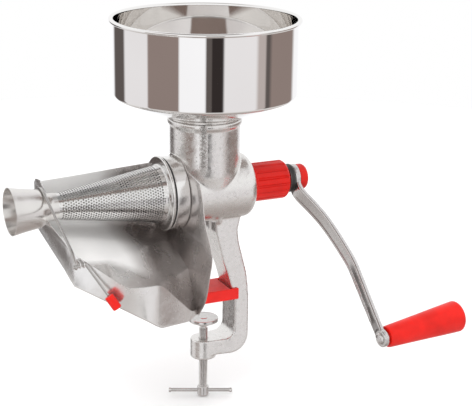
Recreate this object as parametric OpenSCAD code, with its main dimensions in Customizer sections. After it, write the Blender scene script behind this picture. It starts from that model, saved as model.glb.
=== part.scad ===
// Hand cranked tomato strainer with a table clamp
// Origin: centre of the upper jaw's underside, on the clamp screw's axis
// X runs along the drive shaft towards the crank, Z points up, the trough opens towards -Y

/* [Hopper] */
// Outer radius of the bowl's wall
hopper_r = 96; // [80:1:110]
// Height of the bowl's straight wall up to the centre of its rolled rim
hopper_wall_h = 78.4; // [50:1:110]
// Fall of the shallow conical bottom
hopper_fall = 23; // [12:0.5:32]
// Sheet thickness of the bowl
hopper_t = 1.2; // [0.8:0.1:2]
// Radius of the rolled rim's bead
bead_r = 2; // [1.5:0.1:3]
// Length of the neck that plugs into the throat
neck_len = 24; // [15:1:40]
// Wall of the neck
neck_t = 1.6; // [1:0.1:3]

/* [Body casting] */
// Height of the drive shaft above the underside of the upper jaw
shaft_h = 125; // [110:1:150]
// Outer radius of the barrel
barrel_r = 35; // [34.8:0.1:42]
// Outer radius of the throat
throat_r = 37.2; // [35:0.1:39]
// Wall of the barrel and of the throat
barrel_wall = 4.5; // [3:0.1:7]
// Front end of the barrel, from the clamp screw's axis
barrel_front = 31.5; // [28:0.5:36]
// Rear end of the barrel, from the clamp screw's axis
barrel_rear = 49; // [46:0.5:56]
// Thickness of the barrel's rear wall
rear_wall = 11; // [6:0.5:14]
// Height of the throat's lip above the shaft
throat_h = 78.6; // [70:0.5:90]
// Outer radius of the throat's lip
lip_r = 39.6; // [38:0.1:46]
// Height of the throat's lip band
lip_h = 5; // [3:0.5:8]
// Length of the front spigot that carries the strainer
front_spigot_len = 15.7; // [14:0.1:22]
// Outer radius of the front spigot
front_spigot_r = 34.2; // [33:0.1:36]
// Length of the rear spigot that carries the rear nut
rear_spigot_len = 36; // [30:0.5:40]
// Outer radius of the rear spigot
rear_spigot_r = 14.8; // [13:0.1:17]

/* [Clamp frame] */
// Distance of the leg's outer face from the screw's axis
leg_out = 46.5; // [42:0.5:56]
// Thickness of the lower leg
leg_t = 16; // [12:0.5:20]
// Depth of the frame from front to back
leg_depth = 34; // [28:0.5:40]
// Clear height between the upper jaw and the lower arm
throat_gap = 47; // [36:1:70]
// Height of the lower arm
arm_h = 17; // [12:0.5:24]
// Radius of the screw's boss
boss_r = 14.3; // [11:0.1:18]
// Height of the screw's boss
boss_h = 22; // [16:0.5:30]
// Reach of the upper jaw past the screw's axis
jaw_reach = 14.5; // [10:0.5:20]
// Thickness of the jaw's plastic shoe
shoe_t = 2.8; // [2:0.1:4]
// Thickness of the jaw inside its shoe
jaw_t = 7; // [5:0.5:10]

/* [Clamp screw] */
// Major radius of the clamp screw
screw_r = 5; // [4:0.5:6]
// Opening between the jaws at rest
jaw_open = 23; // [6:1:34]
// Length of the screw from its ball to its head
screw_len = 76; // [70:1:90]
// Radius of the screw's drilled head
head_r = 6.4; // [6:0.1:8]
// Height of the screw's drilled head
head_h = 11; // [8:0.5:14]
// Radius of the swivel disc
disc_r = 16.2; // [12:0.1:20]
// Thickness of the swivel disc
disc_t = 4; // [3:0.5:6]
// Radius of the T-bar
bar_r = 2; // [1.5:0.1:3]
// Length of the T-bar
bar_len = 71; // [50:1:90]
// How far the T-bar stands off centre
bar_shift = 3; // [0:0.5:10]
// Turn of the T-bar about the screw
bar_turn = -24; // [-90:1:90]

/* [Strainer cone] */
// Outer radius of the cone at its large end
cone_big_r = 30.8; // [29:0.1:32]
// Outer radius of the cone at its small end
cone_small_r = 12.6; // [10:0.1:16]
// Length of the perforated cone
cone_len = 118; // [90:1:140]
// Sheet thickness of the cone
cone_t = 0.8; // [0.5:0.1:1.2]
// Radius of the cone's flange
flange_r = 40; // [38.5:0.1:44]
// Thickness of the flange's rolled edge
flange_t = 3.4; // [2.4:0.1:5]
// Radius of the mouth of the outlet cup
cup_r = 24.8; // [20:0.1:30]
// Length of the outlet cup
cup_len = 48; // [40:1:60]
// Sheet thickness of the outlet cup
cup_t = 1.2; // [0.8:0.1:2]
// Drain holes around the cone
drain_around = 12; // [8:2:24]
// Rings of drain holes
drain_rings = 7; // [4:1:10]
// Radius of a drain hole
drain_r = 1.1; // [0.6:0.1:1.3]

/* [Splash guard] */
// Distance of the left end plate from the outlet cup's back end
guard_left = 11.7; // [8:0.1:12.5]
// Reach of the trough to the front of the shaft
guard_reach = 118; // [100:1:130]
// Depth of the trough's lowest point under the shaft
guard_drop = 120; // [100:1:121]
// Distance of the back wall behind the shaft at the right end
guard_back = 51; // [46:0.5:60]
// Sheet thickness of the guard
guard_t = 1; // [0.8:0.1:1.6]
// Radius of the retaining wire
wire_r = 1.3; // [1:0.1:1.6]

/* [Drive] */
// Radius of the drive shaft
shaft_r = 6.5; // [5:0.1:8]
// Core radius of the auger
auger_core_r = 10.5; // [9.5:0.1:13]
// Pitch of the auger
auger_pitch = 38; // [28:1:50]
// Thickness of the auger's flight
flight_t = 5; // [3:0.5:7]
// Outer radius of the ribbed rear nut
nut_r = 21; // [19:0.1:25]
// Length of the ribbed rear nut
nut_len = 44; // [42:0.5:50]
// Ribs around the rear nut
nut_ribs = 24; // [12:1:36]

/* [Crank] */
// Radius from the shaft to the grip's pin
crank_r = 201; // [160:1:220]
// Outward offset of the arm's outer eye
crank_offset = 36; // [20:1:50]
// Angle of the crank below the horizontal at rest
crank_angle = 45; // [0:1:90]
// Width of the arm near the shaft
arm_w = 21; // [16:0.5:26]
// Thickness of the arm
arm_t = 5; // [4:0.5:7]
// Radius of the arm's inner eye
eye_r = 15; // [13:0.1:18]
// Radius of the arm's outer eye
end_eye_r = 9.6; // [8:0.1:12]
// Radius of the red end knob
knob_r = 14.2; // [12:0.1:18]
// Thickness of the red end knob
knob_t = 11.5; // [8:0.5:14]
// Length of the grip
grip_len = 98; // [80:1:120]
// Radius of the grip at the arm
grip_small_r = 11.6; // [10:0.1:14]
// Largest radius of the grip
grip_big_r = 17; // [14:0.1:20]
// Radius of the grip's pin
pin_r = 4; // [3:0.1:5]
// Lean of the grip towards the shaft's axis
grip_lean = 5.6; // [0:0.1:9]

/* [Hidden] */

$fn = 96;
small_fn = 32;
wire_fn = 24;
cut = 1; // overrun of every cut
seat = 0.2; // gap between seated pieces
run = 0.05; // radial clearance of running fits
free = 0.35; // radial clearance of loose sliding fits
touch = 0.05; // gap between faces that lie on each other

barrel_bore = barrel_r - barrel_wall;
throat_bore = throat_r - barrel_wall;
front_x = -barrel_front;
rear_x = barrel_rear;
lip_z = shaft_h + throat_h;
shoulder_r = 9; // rounding of the barrel's rear shoulder
spigot_tip_x = front_x - front_spigot_len;
throat_low_r = min(barrel_bore, -front_x - barrel_wall); // narrow lower throat
throat_foot_r = barrel_r - 1.5; // radius of the throat where it meets the shaft's height
throat_foot_h = 22; // height of the throat's tapered foot
ledge_gap = 4; // room between the hopper's neck and the ledge under it
ledge_step = 3; // width of the ledge's slope
throat_step_h = throat_h - neck_len - ledge_gap; // ledge under the hopper's neck
edge = 1; // broken edge of a cast or moulded corner
lip_slope = 3; // slope under the throat's lip
boss_step = 2; // low step behind the barrel that the rear nut meets
boss_wall = 4; // width of that step
spigot_bore = front_spigot_r - barrel_wall;

// Solid of revolution about the shaft from a profile of [radius, x] points
module turned(profile) {
    translate([0, 0, shaft_h]) rotate([0, 90, 0]) rotate_extrude() polygon(profile);
}

// Cylinder about the shaft between two places on X
module round_x(x0, x1, r0, r1 = undef) {
    r_end = is_undef(r1) ? r0 : r1;
    translate([x0, 0, shaft_h]) rotate([0, 90, 0]) cylinder(h = x1 - x0, r1 = r0, r2 = r_end);
}

// Points of an arc, angles in degrees
function arc(cx, cy, r, a0, a1, n = 8) =
    [for (i = [0 : n]) let(a = a0 + (a1 - a0) * i / n) [cx + r * cos(a), cy + r * sin(a)]];

function mix(a, b, t) = a + (b - a) * t;
function unit(v) = v / norm(v);

// Closed skin over rings of points, with both ends filled as fans
module skin(rings) {
    n = len(rings[0]);
    m = len(rings);
    points = [for (ring = rings) for (p = ring) p];
    sides = [for (i = [0 : m - 2]) for (j = [0 : n - 1])
        let(a = i * n + j, b = i * n + (j + 1) % n, c = a + n, d = b + n)
        each [[a, d, b], [a, c, d]]];
    first = [for (j = [1 : n - 2]) [0, j, j + 1]];
    last = [for (j = [1 : n - 2]) [(m - 1) * n, (m - 1) * n + j + 1, (m - 1) * n + j]];
    polyhedron(points, concat(sides, first, last));
}

// Wire bent along a list of points
wire_sides = 10;
function tangent(points, i) = let(n = len(points) - 1)
    i == 0 ? unit(points[1] - points[0])
    : i == n ? unit(points[n] - points[n - 1])
    : unit(unit(points[i] - points[i - 1]) + unit(points[i + 1] - points[i]));
module wire(points, r, ref = [1, 0, 0]) {
    skin([for (i = [0 : len(points) - 1]) let(
        t = tangent(points, i),
        b = unit(cross(ref, t)),
        c = cross(t, b))
        [for (j = [0 : wire_sides - 1]) let(a = 360 * j / wire_sides)
            points[i] + r * (cos(a) * b + sin(a) * c)]]);
}

// Clamp frame outline, in X and Z
waist_inset = 14; // how far the leg's top stands in from its outer face
waist_drop = 10.2; // height of the leg's blend under the barrel
top_run = 4; // width of the leg's top past the waist
waist_x = leg_out - waist_inset;
frame_top = shaft_h - 0.8 * barrel_r;
waist_z = shaft_h - barrel_r - waist_drop;
inner_x = leg_out - leg_t;
arm_top = -throat_gap;
arm_bottom = arm_top - arm_h;
bend_r = 20; // outer bend of the lower leg
inner_bend_r = 11; // inner bend of the lower leg
jaw_low = shoe_t + touch;
jaw_top = jaw_low + jaw_t;
leg_root_x = 6.5; // inner face of the leg at the barrel
jaw_root_inset = 5; // how far the jaw's root stands in from the leg
jaw_root_x = inner_x - jaw_root_inset;
rib_t = 4; // thickness of the rib under the barrel
rib_h = 14.5; // height of the rib under the barrel
lug_r = 2.8; // radius of the small pointed lug under the barrel
lug_h = 10; // height of the lug
lug_drop = 0.5; // how far the lug reaches under the barrel
lug_x = 9.3; // place of the lug along the barrel
lug_y = -19; // place of the lug in front of the shaft
arm_inset = 2; // where the lower arm starts to narrow
outer_shares = [[0, 1], [0.04, 0.9], [0.14, 0.79], [0.5, 0.55], [0.79, 0.36], [0.93, 0.16], [1, 0]];
inner_shares = [[0, 0.13], [0.2, 0.32], [0.47, 0.56], [0.79, 0.77], [1, 0.95]];

module frame_outline() {
    polygon(concat(
        [[leg_root_x, frame_top], [waist_x + top_run, frame_top]],
        [for (s = outer_shares) [mix(waist_x, leg_out, s[0]), mix(0, waist_z, s[1])]],
        arc(leg_out - bend_r, arm_bottom + bend_r, bend_r, 0, -90),
        [[0, arm_bottom], [0, arm_top]],
        arc(inner_x - inner_bend_r, arm_top + inner_bend_r, inner_bend_r, -90, 0),
        [[inner_x, jaw_low], [-jaw_reach, jaw_low], [-jaw_reach, jaw_top], [jaw_root_x, jaw_top]],
        [for (i = [len(inner_shares) - 1 : -1 : 0])
            [mix(leg_root_x, jaw_root_x, inner_shares[i][0]),
             mix(waist_z + waist_drop, jaw_top, inner_shares[i][1])]]));
}

// Cast aluminium body: throat, barrel, spigots, leg and clamp frame in one piece
module body() {
    color("silver") difference() {
        union() {
            // Throat with its tapered foot and its lip
            translate([0, 0, shaft_h]) rotate_extrude() polygon([[0, 0], [throat_foot_r, 0],
                [throat_r, throat_foot_h],
                [throat_r, throat_h - lip_h - lip_slope], [lip_r, throat_h - lip_h],
                [lip_r, throat_h - edge], [lip_r - edge, throat_h], [0, throat_h]]);
            // Barrel with its rounded rear shoulder
            turned(concat([[0, front_x], [barrel_r - edge, front_x], [barrel_r, front_x + edge]],
                [for (p = arc(barrel_r - shoulder_r, rear_x - shoulder_r, shoulder_r, 0, 90)) p],
                [[0, rear_x]]));
            round_x(rear_x - cut, rear_x + boss_step, rear_spigot_r + boss_wall);
            round_x(rear_x, rear_x + rear_spigot_len, rear_spigot_r);
            round_x(spigot_tip_x, front_x + cut, front_spigot_r);
            // Leg and clamp frame
            translate([0, leg_depth / 2, 0]) rotate([90, 0, 0])
                linear_extrude(leg_depth) frame_outline();
            translate([0, 0, arm_top - boss_h]) cylinder(h = boss_h, r = boss_r);
            // Cast rib under the barrel
            translate([leg_root_x - cut, -rib_t / 2, waist_z - rib_t / 2])
                cube([waist_x - leg_root_x, rib_t, rib_h]);
            // Small pointed lug under the barrel
            translate([lug_x, lug_y, shaft_h - barrel_r - lug_drop])
                cylinder(h = lug_h, r1 = 0.5 * lug_r, r2 = 1.4 * lug_r, $fn = small_fn);
        }
        // Lower arm narrows to the boss on both sides
        for (side = [0, 1]) mirror([0, side, 0])
            translate([0, 0, arm_bottom - cut]) linear_extrude(arm_h + 2 * cut)
                polygon([[-boss_r, boss_r], [boss_r / 2, boss_r],
                    [inner_x - arm_inset, leg_depth / 2], [inner_x - arm_inset, leg_depth],
                    [-boss_r, leg_depth]]);
        // Room for the strainer's ring and the guard's plate in front of the throat
        difference() {
            round_x(front_x - throat_r, front_x, hood_r + free);
            round_x(spigot_tip_x - cut, front_x + cut, front_spigot_r);
        }
        // Inside of the throat and of the barrel
        translate([0, 0, shaft_h]) rotate_extrude() polygon([[0, 0], [throat_low_r, 0],
            [throat_low_r, throat_step_h - ledge_gap], [throat_low_r + ledge_step, throat_step_h],
            [throat_bore, throat_step_h], [throat_bore, throat_h + cut], [0, throat_h + cut]]);
        round_x(front_x, rear_x - rear_wall, barrel_bore);
        round_x(spigot_tip_x - cut, front_x + cut, spigot_bore);
        // Bearing bore and screw bore
        round_x(0, rear_x + rear_spigot_len + cut, sleeve_r + seat / 2);
        translate([0, 0, arm_top - boss_h - cut])
            cylinder(h = boss_h + 2 * cut, r = screw_r + run);
    }
}

// Hopper bowl, pressed from one sheet
neck_flange_t = 1.4;
fold_z = lip_z + seat + neck_flange_t + hopper_fall;
rim_z = fold_z + hopper_wall_h;
fold_r = 3; // rounding between the bowl's wall and its bottom
neck_r = throat_bore - free;
neck_flange_r = lip_r - 1.2;
bottom_z = lip_z + seat + neck_flange_t;
rolled_r = hopper_r + bead_r;

module hopper() {
    inner = hopper_r - hopper_t;
    hole = neck_r - neck_t;
    color("whitesmoke") {
        rotate_extrude($fn = 128) polygon(concat(
            [[hole, bottom_z + touch], [neck_flange_r, bottom_z + touch]],
            arc(hopper_r - fold_r, fold_z + fold_r, fold_r, -70, 0),
            [[hopper_r, rim_z], [inner, rim_z]],
            arc(inner - fold_r, fold_z + fold_r + hopper_t, fold_r, 0, -70),
            [[neck_flange_r, bottom_z + hopper_t + touch], [hole, bottom_z + hopper_t + touch]]));
        translate([0, 0, rim_z]) rotate_extrude($fn = 128)
            translate([rolled_r - touch, 0]) circle(bead_r, $fn = small_fn);
    }
}

// Neck ring under the bowl, which plugs into the throat
module hopper_neck() {
    color("lightgray") rotate_extrude() polygon([
        [neck_r - neck_t, lip_z - neck_len], [neck_r, lip_z - neck_len], [neck_r, lip_z + seat],
        [neck_flange_r, lip_z + seat], [neck_flange_r, bottom_z], [neck_r - neck_t, bottom_z]]);
}

// Plastic shoe on the upper jaw
shoe_side = 2.6; // thickness of the shoe's sides
shoe_lap = 3; // how far its sides reach along the leg
shoe_gap = 1.6; // gap between its top and the jaw's root
shoe_right = inner_x + shoe_lap;
module jaw_pad() {
    half = leg_depth / 2 + touch;
    color("red") difference() {
        translate([-jaw_reach - shoe_t, -half - shoe_side, 0])
            cube([shoe_right + jaw_reach + shoe_t, 2 * (half + shoe_side), jaw_top + shoe_t]);
        translate([-jaw_reach - touch, -half, jaw_low - touch])
            cube([shoe_right + jaw_reach + cut, 2 * half, jaw_t + 2 * touch]);
        translate([jaw_root_x - shoe_gap, -half, -cut])
            cube([shoe_right, 2 * half, jaw_top + shoe_t + 2 * cut]);
    }
}

// Clamp screw with its ball and its drilled head
disc_top = -jaw_open;
ball_step = 0.4; // how much smaller the ball is than the thread
ball_drop = 2; // height of the ball's centre under the disc
ball_neck = 1; // length of the neck under the ball
neck_share = 0.62; // radius of that neck, as a share of the thread's
head_edge = 1.2; // chamfer of the drilled head
ball_r = screw_r - ball_step;
ball_z = disc_top - disc_t - ball_drop;
screw_top = ball_z - ball_r - ball_neck;
head_top = ball_z - screw_len;
hole_z = head_top - head_h / 2;

module clamp_screw() {
    color("silver") difference() {
        union() {
            translate([0, 0, ball_z]) sphere(ball_r, $fn = 48);
            translate([0, 0, screw_top - cut])
                cylinder(h = ball_z - screw_top + cut, r = neck_share * screw_r);
            translate([0, 0, head_top - cut]) cylinder(h = screw_top - head_top + cut, r = screw_r);
            translate([0, 0, head_top - head_h]) rotate_extrude() polygon([[0, 0],
                [head_r - head_edge, 0], [head_r, head_edge], [head_r, head_h - head_edge],
                [head_r - head_edge, head_h], [0, head_h]]);
        }
        translate([0, 0, hole_z]) rotate([0, 0, bar_turn]) rotate([0, 90, 0])
            translate([0, 0, -head_r - cut]) cylinder(h = 2 * (head_r + cut), r = bar_r + run);
    }
}

// T-bar with upset ends
bar_upset = 0.7; // how far the bar's ends are upset
bar_end_r = bar_r + bar_upset;
bar_end_len = 3;
module clamp_bar() {
    color("silver") translate([0, 0, hole_z]) rotate([0, 0, bar_turn])
        translate([-bar_shift, 0, 0]) rotate([0, 90, 0]) translate([0, 0, -bar_len / 2]) {
            cylinder(h = bar_len, r = bar_r, $fn = small_fn);
            cylinder(h = bar_end_len, r = bar_end_r, $fn = small_fn);
            translate([0, 0, bar_len - bar_end_len])
                cylinder(h = bar_end_len, r = bar_end_r, $fn = small_fn);
        }
}

// Swivel disc with the socket that holds the screw's ball
disc_edge = 0.6; // chamfer of the disc
socket_wall = 2; // wall of the socket at its mouth
module clamp_disc() {
    socket = ball_r + run;
    low = ball_z - neck_share * ball_r;
    color("lightgray") difference() {
        union() {
            translate([0, 0, disc_top - disc_t]) rotate_extrude() polygon([[0, 0],
                [disc_r - disc_edge, 0], [disc_r, disc_edge], [disc_r, disc_t - disc_edge],
                [disc_r - disc_edge, disc_t], [0, disc_t]]);
            translate([0, 0, low]) cylinder(h = disc_top - cut - low,
                r1 = ball_r + socket_wall, r2 = ball_r + 2 * socket_wall);
        }
        translate([0, 0, ball_z]) sphere(socket, $fn = 48);
        translate([0, 0, low - cut]) cylinder(h = cut + touch, r = socket);
    }
}

// Strainer parts sit one behind the other on the front spigot
plate_x = front_x - touch; // rear face of the guard's right plate
ring_back_x = plate_x - guard_t - touch;
ring_len = ring_back_x - spigot_tip_x;
gasket_x = spigot_tip_x - touch;
gasket_t = 1.6;
gasket_inset = 1.5; // how far the gasket stays inside the ring
ring_edge = 0.8; // chamfer of the ring
flange_back_x = gasket_x - gasket_t - touch;
cone_x = flange_back_x - flange_t;
cone_tip_x = cone_x - cone_len;
cone_slope = (cone_big_r - cone_small_r) / cone_len;
ring_inset = 1; // how far the ring stays inside the flange
ring_r = flange_r - ring_inset;

module cone_ring() {
    color("gainsboro") difference() {
        turned([[front_spigot_r + free, ring_back_x], [ring_r - ring_edge, ring_back_x],
            [ring_r, ring_back_x - ring_edge], [ring_r, spigot_tip_x + ring_edge],
            [ring_r - ring_edge, spigot_tip_x], [front_spigot_r + free, spigot_tip_x]]);
    }
}

module cone_gasket() {
    color("dimgray") difference() {
        round_x(gasket_x - gasket_t, gasket_x, ring_r - gasket_inset);
        round_x(gasket_x - gasket_t - cut, gasket_x + cut, spigot_bore);
    }
}

// Perforated cone with its rolled flange
flare = 2.4; // blend between the cone and its flange
flare_rise = 0.3; // height of that blend
module strainer_cone() {
    color("silver") difference() {
        turned(concat(
            [[cone_small_r, cone_tip_x], [cone_big_r, cone_x], [cone_big_r + flare, cone_x + flare_rise]],
            arc(flange_r - flange_t / 2, cone_x + flange_t / 2, flange_t / 2, -90, 90),
            [[spigot_bore, flange_back_x], [spigot_bore, flange_back_x - cone_t],
             [cone_big_r - cone_t, cone_x + cone_t], [cone_small_r - cone_t, cone_tip_x]]));
        for (i = [1 : drain_rings]) for (j = [0 : drain_around - 1]) {
            x = cone_x - cone_len * (i - 0.3) / (drain_rings + 1);
            r = cone_small_r + cone_slope * (x - cone_tip_x);
            translate([x, 0, shaft_h]) rotate([360 * (j + 0.5 * (i % 2)) / drain_around, 0, 0])
                translate([0, 0, r - 2 * cone_t]) cylinder(h = 4 * cone_t, r = drain_r, $fn = 16);
        }
    }
}

// Flared outlet cup on the cone's small end
cup_lap = 4; // how far the cup reaches over the cone
cup_neck_r = cone_small_r + cup_lap * cone_slope + touch + cup_t;
cup_back_x = cone_tip_x + cup_lap;
cup_mouth_x = cup_back_x - cup_len;
bell_shares = [[0, 0], [0.13, 0.02], [0.2, 0.12], [0.28, 0.3], [0.37, 0.48], [0.48, 0.58],
    [0.62, 0.68], [0.78, 0.8], [0.92, 0.93], [1, 1]];
function cup_radius(s) = mix(cup_neck_r, cup_r, s);

module outlet_cup() {
    color("silver") turned(concat(
        [for (s = bell_shares) [cup_radius(s[1]), cup_back_x - s[0] * cup_len]],
        [for (i = [len(bell_shares) - 1 : -1 : 0]) let(s = bell_shares[i])
            [cup_radius(s[1]) - cup_t, cup_back_x - s[0] * cup_len]]));
}

// Splash guard: one trough of bent sheet between two end plates
guard_right_x = plate_x - guard_t / 2;
guard_left_x = cup_back_x - guard_left;
// Stations along the trough from left to right, as shares of its length
station_shares = [0, 0.31, 0.45, 0.55, 0.875, 1];
// Each station's outline: top, back, fold, knee, low edge and rim, as shares of back or reach, and drop
top_shares = [[0.6, 0.16], [0.71, 0.163], [0.77, 0.165], [0.81, 0.167], [0.95, 0.17], [1, 0.17]];
back_shares = [[0.62, -0.225], [0.73, -0.29], [0.79, -0.32], [0.83, -0.34], [0.96, -0.41], [1, -0.43]];
fold_shares = [[-0.508, -0.383], [-0.48, -0.39], [-0.36, -0.405], [-0.27, -0.415], [0.02, -0.46],
    [0.13, -0.5]];
knee_shares = [[-0.66, -0.425], [-0.75, -0.53], [-0.71, -0.59], [-0.67, -0.63], [-0.36, -0.67],
    [-0.26, -0.64]];
low_shares = [[-0.775, -0.45], [-0.93, -0.67], [-1, -0.77], [-0.975, -0.86], [-0.65, -0.975],
    [-0.46, -1]];
rim_shares = [[-0.75, -0.175], [-0.99, -0.45], [-1, -0.455], [-0.985, -0.46], [-0.69, -0.865],
    [-0.49, -0.94]];

function guard_station(i) = let(x = mix(guard_left_x, guard_right_x, station_shares[i])) [
    [x, guard_back * top_shares[i][0], shaft_h + guard_drop * top_shares[i][1]],
    [x, guard_back * back_shares[i][0], shaft_h + guard_drop * back_shares[i][1]],
    [x, guard_reach * fold_shares[i][0], shaft_h + guard_drop * fold_shares[i][1]],
    [x, guard_reach * knee_shares[i][0], shaft_h + guard_drop * knee_shares[i][1]],
    [x, guard_reach * low_shares[i][0], shaft_h + guard_drop * low_shares[i][1]],
    [x, guard_reach * rim_shares[i][0], shaft_h + guard_drop * rim_shares[i][1]]];
// Inward normal of a leg of the outline, and the outline moved in by the sheet's thickness
function leg_normal(p, q) = let(v = q - p) unit([0, v[2], -v[1]]);
function inward(line, i) = let(
    a = leg_normal(line[max(i - 1, 0)], line[max(i, 1)]),
    b = leg_normal(line[min(i, len(line) - 2)], line[min(i + 1, len(line) - 1)]),
    m = unit(a + b)) m / max(m * a, 0.5);
function shifted(line, d) = [for (i = [0 : len(line) - 1]) line[i] + d * inward(line, i)];

module trough_sheet() {
    lines = [for (i = [0 : len(station_shares) - 1]) guard_station(i)];
    k = len(lines[0]);
    n = 2 * k;
    m = len(lines);
    rings = [for (line = lines) let(inside = shifted(line, guard_t))
        concat(line, [for (j = [k - 1 : -1 : 0]) inside[j]])];
    points = [for (ring = rings) for (p = ring) p];
    sides = [for (i = [0 : m - 2]) for (j = [0 : n - 1])
        let(a = i * n + j, b = i * n + (j + 1) % n, c = a + n, d = b + n)
        each [[a, b, d], [a, d, c]]];
    first = [for (j = [0 : k - 2]) each [[j, n - 1 - j, n - 2 - j], [j, n - 2 - j, j + 1]]];
    base = (m - 1) * n;
    last = [for (j = [0 : k - 2])
        each [[base + j, base + n - 2 - j, base + n - 1 - j], [base + j, base + j + 1, base + n - 2 - j]]];
    polyhedron(points, concat(sides, first, last));
}

// Sheet standing square to the shaft, from an outline of [y, height above the shaft] points
module end_plate(x, outline) {
    translate([x + guard_t / 2, 0, shaft_h]) rotate([0, -90, 0]) linear_extrude(guard_t)
        polygon([for (p = outline) [p[1], p[0]]]);
}

// The right plate hangs on the front spigot
hood_lip = 1.6; // how far the plate's hood stands over the ring
hood_r = ring_r + hood_lip;
right_front_shares = [[-0.5, 0.2], [-0.56, 0.09], [-0.6, -0.05], [-0.64, -0.15], [-0.69, -0.23],
    [-0.76, -0.33], [-0.77, -0.42], [-0.73, -0.55], [-0.65, -0.8], [-0.5, -0.99]];
// The left plate has an open notch for the outlet's neck
notch_play = 3.2; // room around the outlet's neck
notch_r = cup_neck_r + notch_play;
left_low_shares = [[-0.18, -0.11], [-0.5, -0.14], [-0.745, -0.18]];

plate_lip = 0.4; // rim of an end plate past the trough
module splash_guard() {
    first = shifted(guard_station(0), -plate_lip);
    last = shifted(guard_station(len(station_shares) - 1), -plate_lip);
    flat_first = [for (p = first) [p[1], p[2] - shaft_h]];
    flat_last = [for (p = last) [p[1], p[2] - shaft_h]];
    color("gainsboro") {
        trough_sheet();
        difference() {
            end_plate(guard_right_x, concat(arc(0, 0, hood_r, 45, 135, 12),
                [for (s = right_front_shares) [guard_reach * s[0], guard_drop * s[1]]],
                [for (j = [4 : -1 : 0]) flat_last[j]]));
            round_x(guard_right_x - guard_t, guard_right_x + guard_t, front_spigot_r + free);
        }
        difference() {
            end_plate(guard_left_x, concat(
                [[-0.02 * guard_reach, 0.165 * guard_drop], [0.1 * guard_reach, 0.22 * guard_drop],
                 [0.22 * guard_reach, 0.2 * guard_drop]],
                [for (j = [0 : 4]) flat_first[j]],
                [for (j = [2 : -1 : 0])
                    [guard_reach * left_low_shares[j][0], guard_drop * left_low_shares[j][1]]]));
            round_x(guard_left_x - guard_t, guard_left_x + guard_t, notch_r);
            translate([guard_left_x - guard_t, -guard_reach * 0.18, shaft_h - guard_drop * 0.11])
                cube([2 * guard_t, guard_reach * 0.18, guard_drop * 0.27]);
        }
        // Ears for the latch lever
        difference() {
            for (x = ear_places) translate([x - guard_t / 2, lever_y - ear, lever_z - ear])
                cube([guard_t, 4.2 * ear, 2 * ear]);
            translate([guard_left_x - cut, lever_y, lever_z]) rotate([0, 90, 0])
                cylinder(h = ear_places[1] - guard_left_x + 2 * cut, r = wire_r + run, $fn = wire_fn);
        }
    }
}

// Latch lever: its pivot runs through two ears on the trough's corner
ear = 3.4; // radius of the ears
ear_inset = 2.6; // distance of the first ear from the left plate
ear_pitch = 4; // distance between the ears
lever_y = -0.835 * guard_reach;
lever_z = shaft_h - 0.245 * guard_drop;
ear_places = [guard_left_x + ear_inset, guard_left_x + ear_inset + ear_pitch];
throw = 4; // crank of the wire's eye past the lever's pivot
wire_stand = 2.1; // distance of the retaining wire from the left plate
wire_x = guard_left_x - guard_t / 2 - wire_stand; // plane of the retaining wire
crank_x = wire_x + 3 * wire_r + 2 * seat;
pin_tail = 2; // how far the lever's pin stands out of the wire's eye
pivot_end_x = ear_places[1] + guard_t / 2 + seat + 2 * wire_r;
finger_x = pivot_end_x - wire_r;
finger_end_share = 0.2408; // where the finger ends, along the guard from its left plate
lever_top = [finger_x, lever_y, lever_z];
lever_end = [mix(guard_left_x, guard_right_x, finger_end_share),
    lever_y - 0.15 * guard_reach, lever_z - 0.37 * guard_drop];
tip_start_share = 0.7;

module wire_pin(x0, x1, y) {
    translate([x0, y, lever_z]) rotate([0, 90, 0]) cylinder(h = x1 - x0, r = wire_r, $fn = wire_fn);
}

module latch_lever() {
    color("silver") {
        wire_pin(wire_x - pin_tail, crank_x, lever_y - throw);
        wire_pin(crank_x - 2 * wire_r, pivot_end_x, lever_y);
        translate([crank_x - 1.6 * wire_r, lever_y - throw, lever_z - 0.7 * wire_r])
            cube([1.4 * wire_r, throw, 1.4 * wire_r]);
        wire([lever_top, mix(lever_top, lever_end, tip_start_share)], 0.92 * wire_r);
        wire([mix(lever_top, lever_end, 0.6), mix(lever_top, lever_end, 0.93)], finger_r);
    }
}

// Red sleeve on the lever's finger end
tip_r = 4.6;
tip_len = 15;
tip_edge = 1.2; // rounding of the sleeve
tip_wall = 2; // end wall of the sleeve
finger_r = 0.8 * wire_r;
module lever_tip() {
    v = lever_end - lever_top;
    from = mix(lever_top, lever_end, tip_start_share);
    color("red") translate(from) rotate([0, acos(v[2] / norm(v)), atan2(v[1], v[0])]) difference() {
        translate([0, 0, touch]) rotate_extrude($fn = 48) polygon([[0, 0], [tip_r - tip_edge, 0],
            [tip_r, tip_edge], [tip_r, tip_len - tip_edge], [tip_r - tip_edge, tip_len], [0, tip_len]]);
        translate([0, 0, -cut])
            cylinder(h = tip_len - tip_wall + cut, r = finger_r + touch, $fn = wire_fn);
    }
}

// Retaining wire: hooks over the outlet's neck and ends in an eye on the lever
hook_r = 20;
knee_h = 13.5; // height of the wire's knee over the lever's pivot
wire_knee_shares = [[2 / 3, 1], [4 / 9, 8 / 9], [2 / 9, 2 / 3]];
wire_eye_r = 2.2 * wire_r;
module guard_wire() {
    hook = [for (a = [30 : 15 : 120]) [wire_x, hook_r * cos(a), shaft_h + hook_r * sin(a)]];
    knee = [for (s = wire_knee_shares) [wire_x, lever_y + knee_h * s[0], lever_z + knee_h * s[1]]];
    eye = [wire_x, lever_y - throw, lever_z];
    color("silver") difference() {
        union() {
            wire(concat(hook, knee, [eye + wire_eye_r * [0, 0.42, 0.7]]), wire_r);
            translate(eye - [wire_r, 0, 0]) rotate([0, 90, 0])
                cylinder(h = 2 * wire_r, r = wire_eye_r, $fn = wire_fn);
        }
        translate(eye - [2 * wire_r, 0, 0]) rotate([0, 90, 0])
            cylinder(h = 4 * wire_r, r = wire_r + run, $fn = wire_fn);
    }
}

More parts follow.
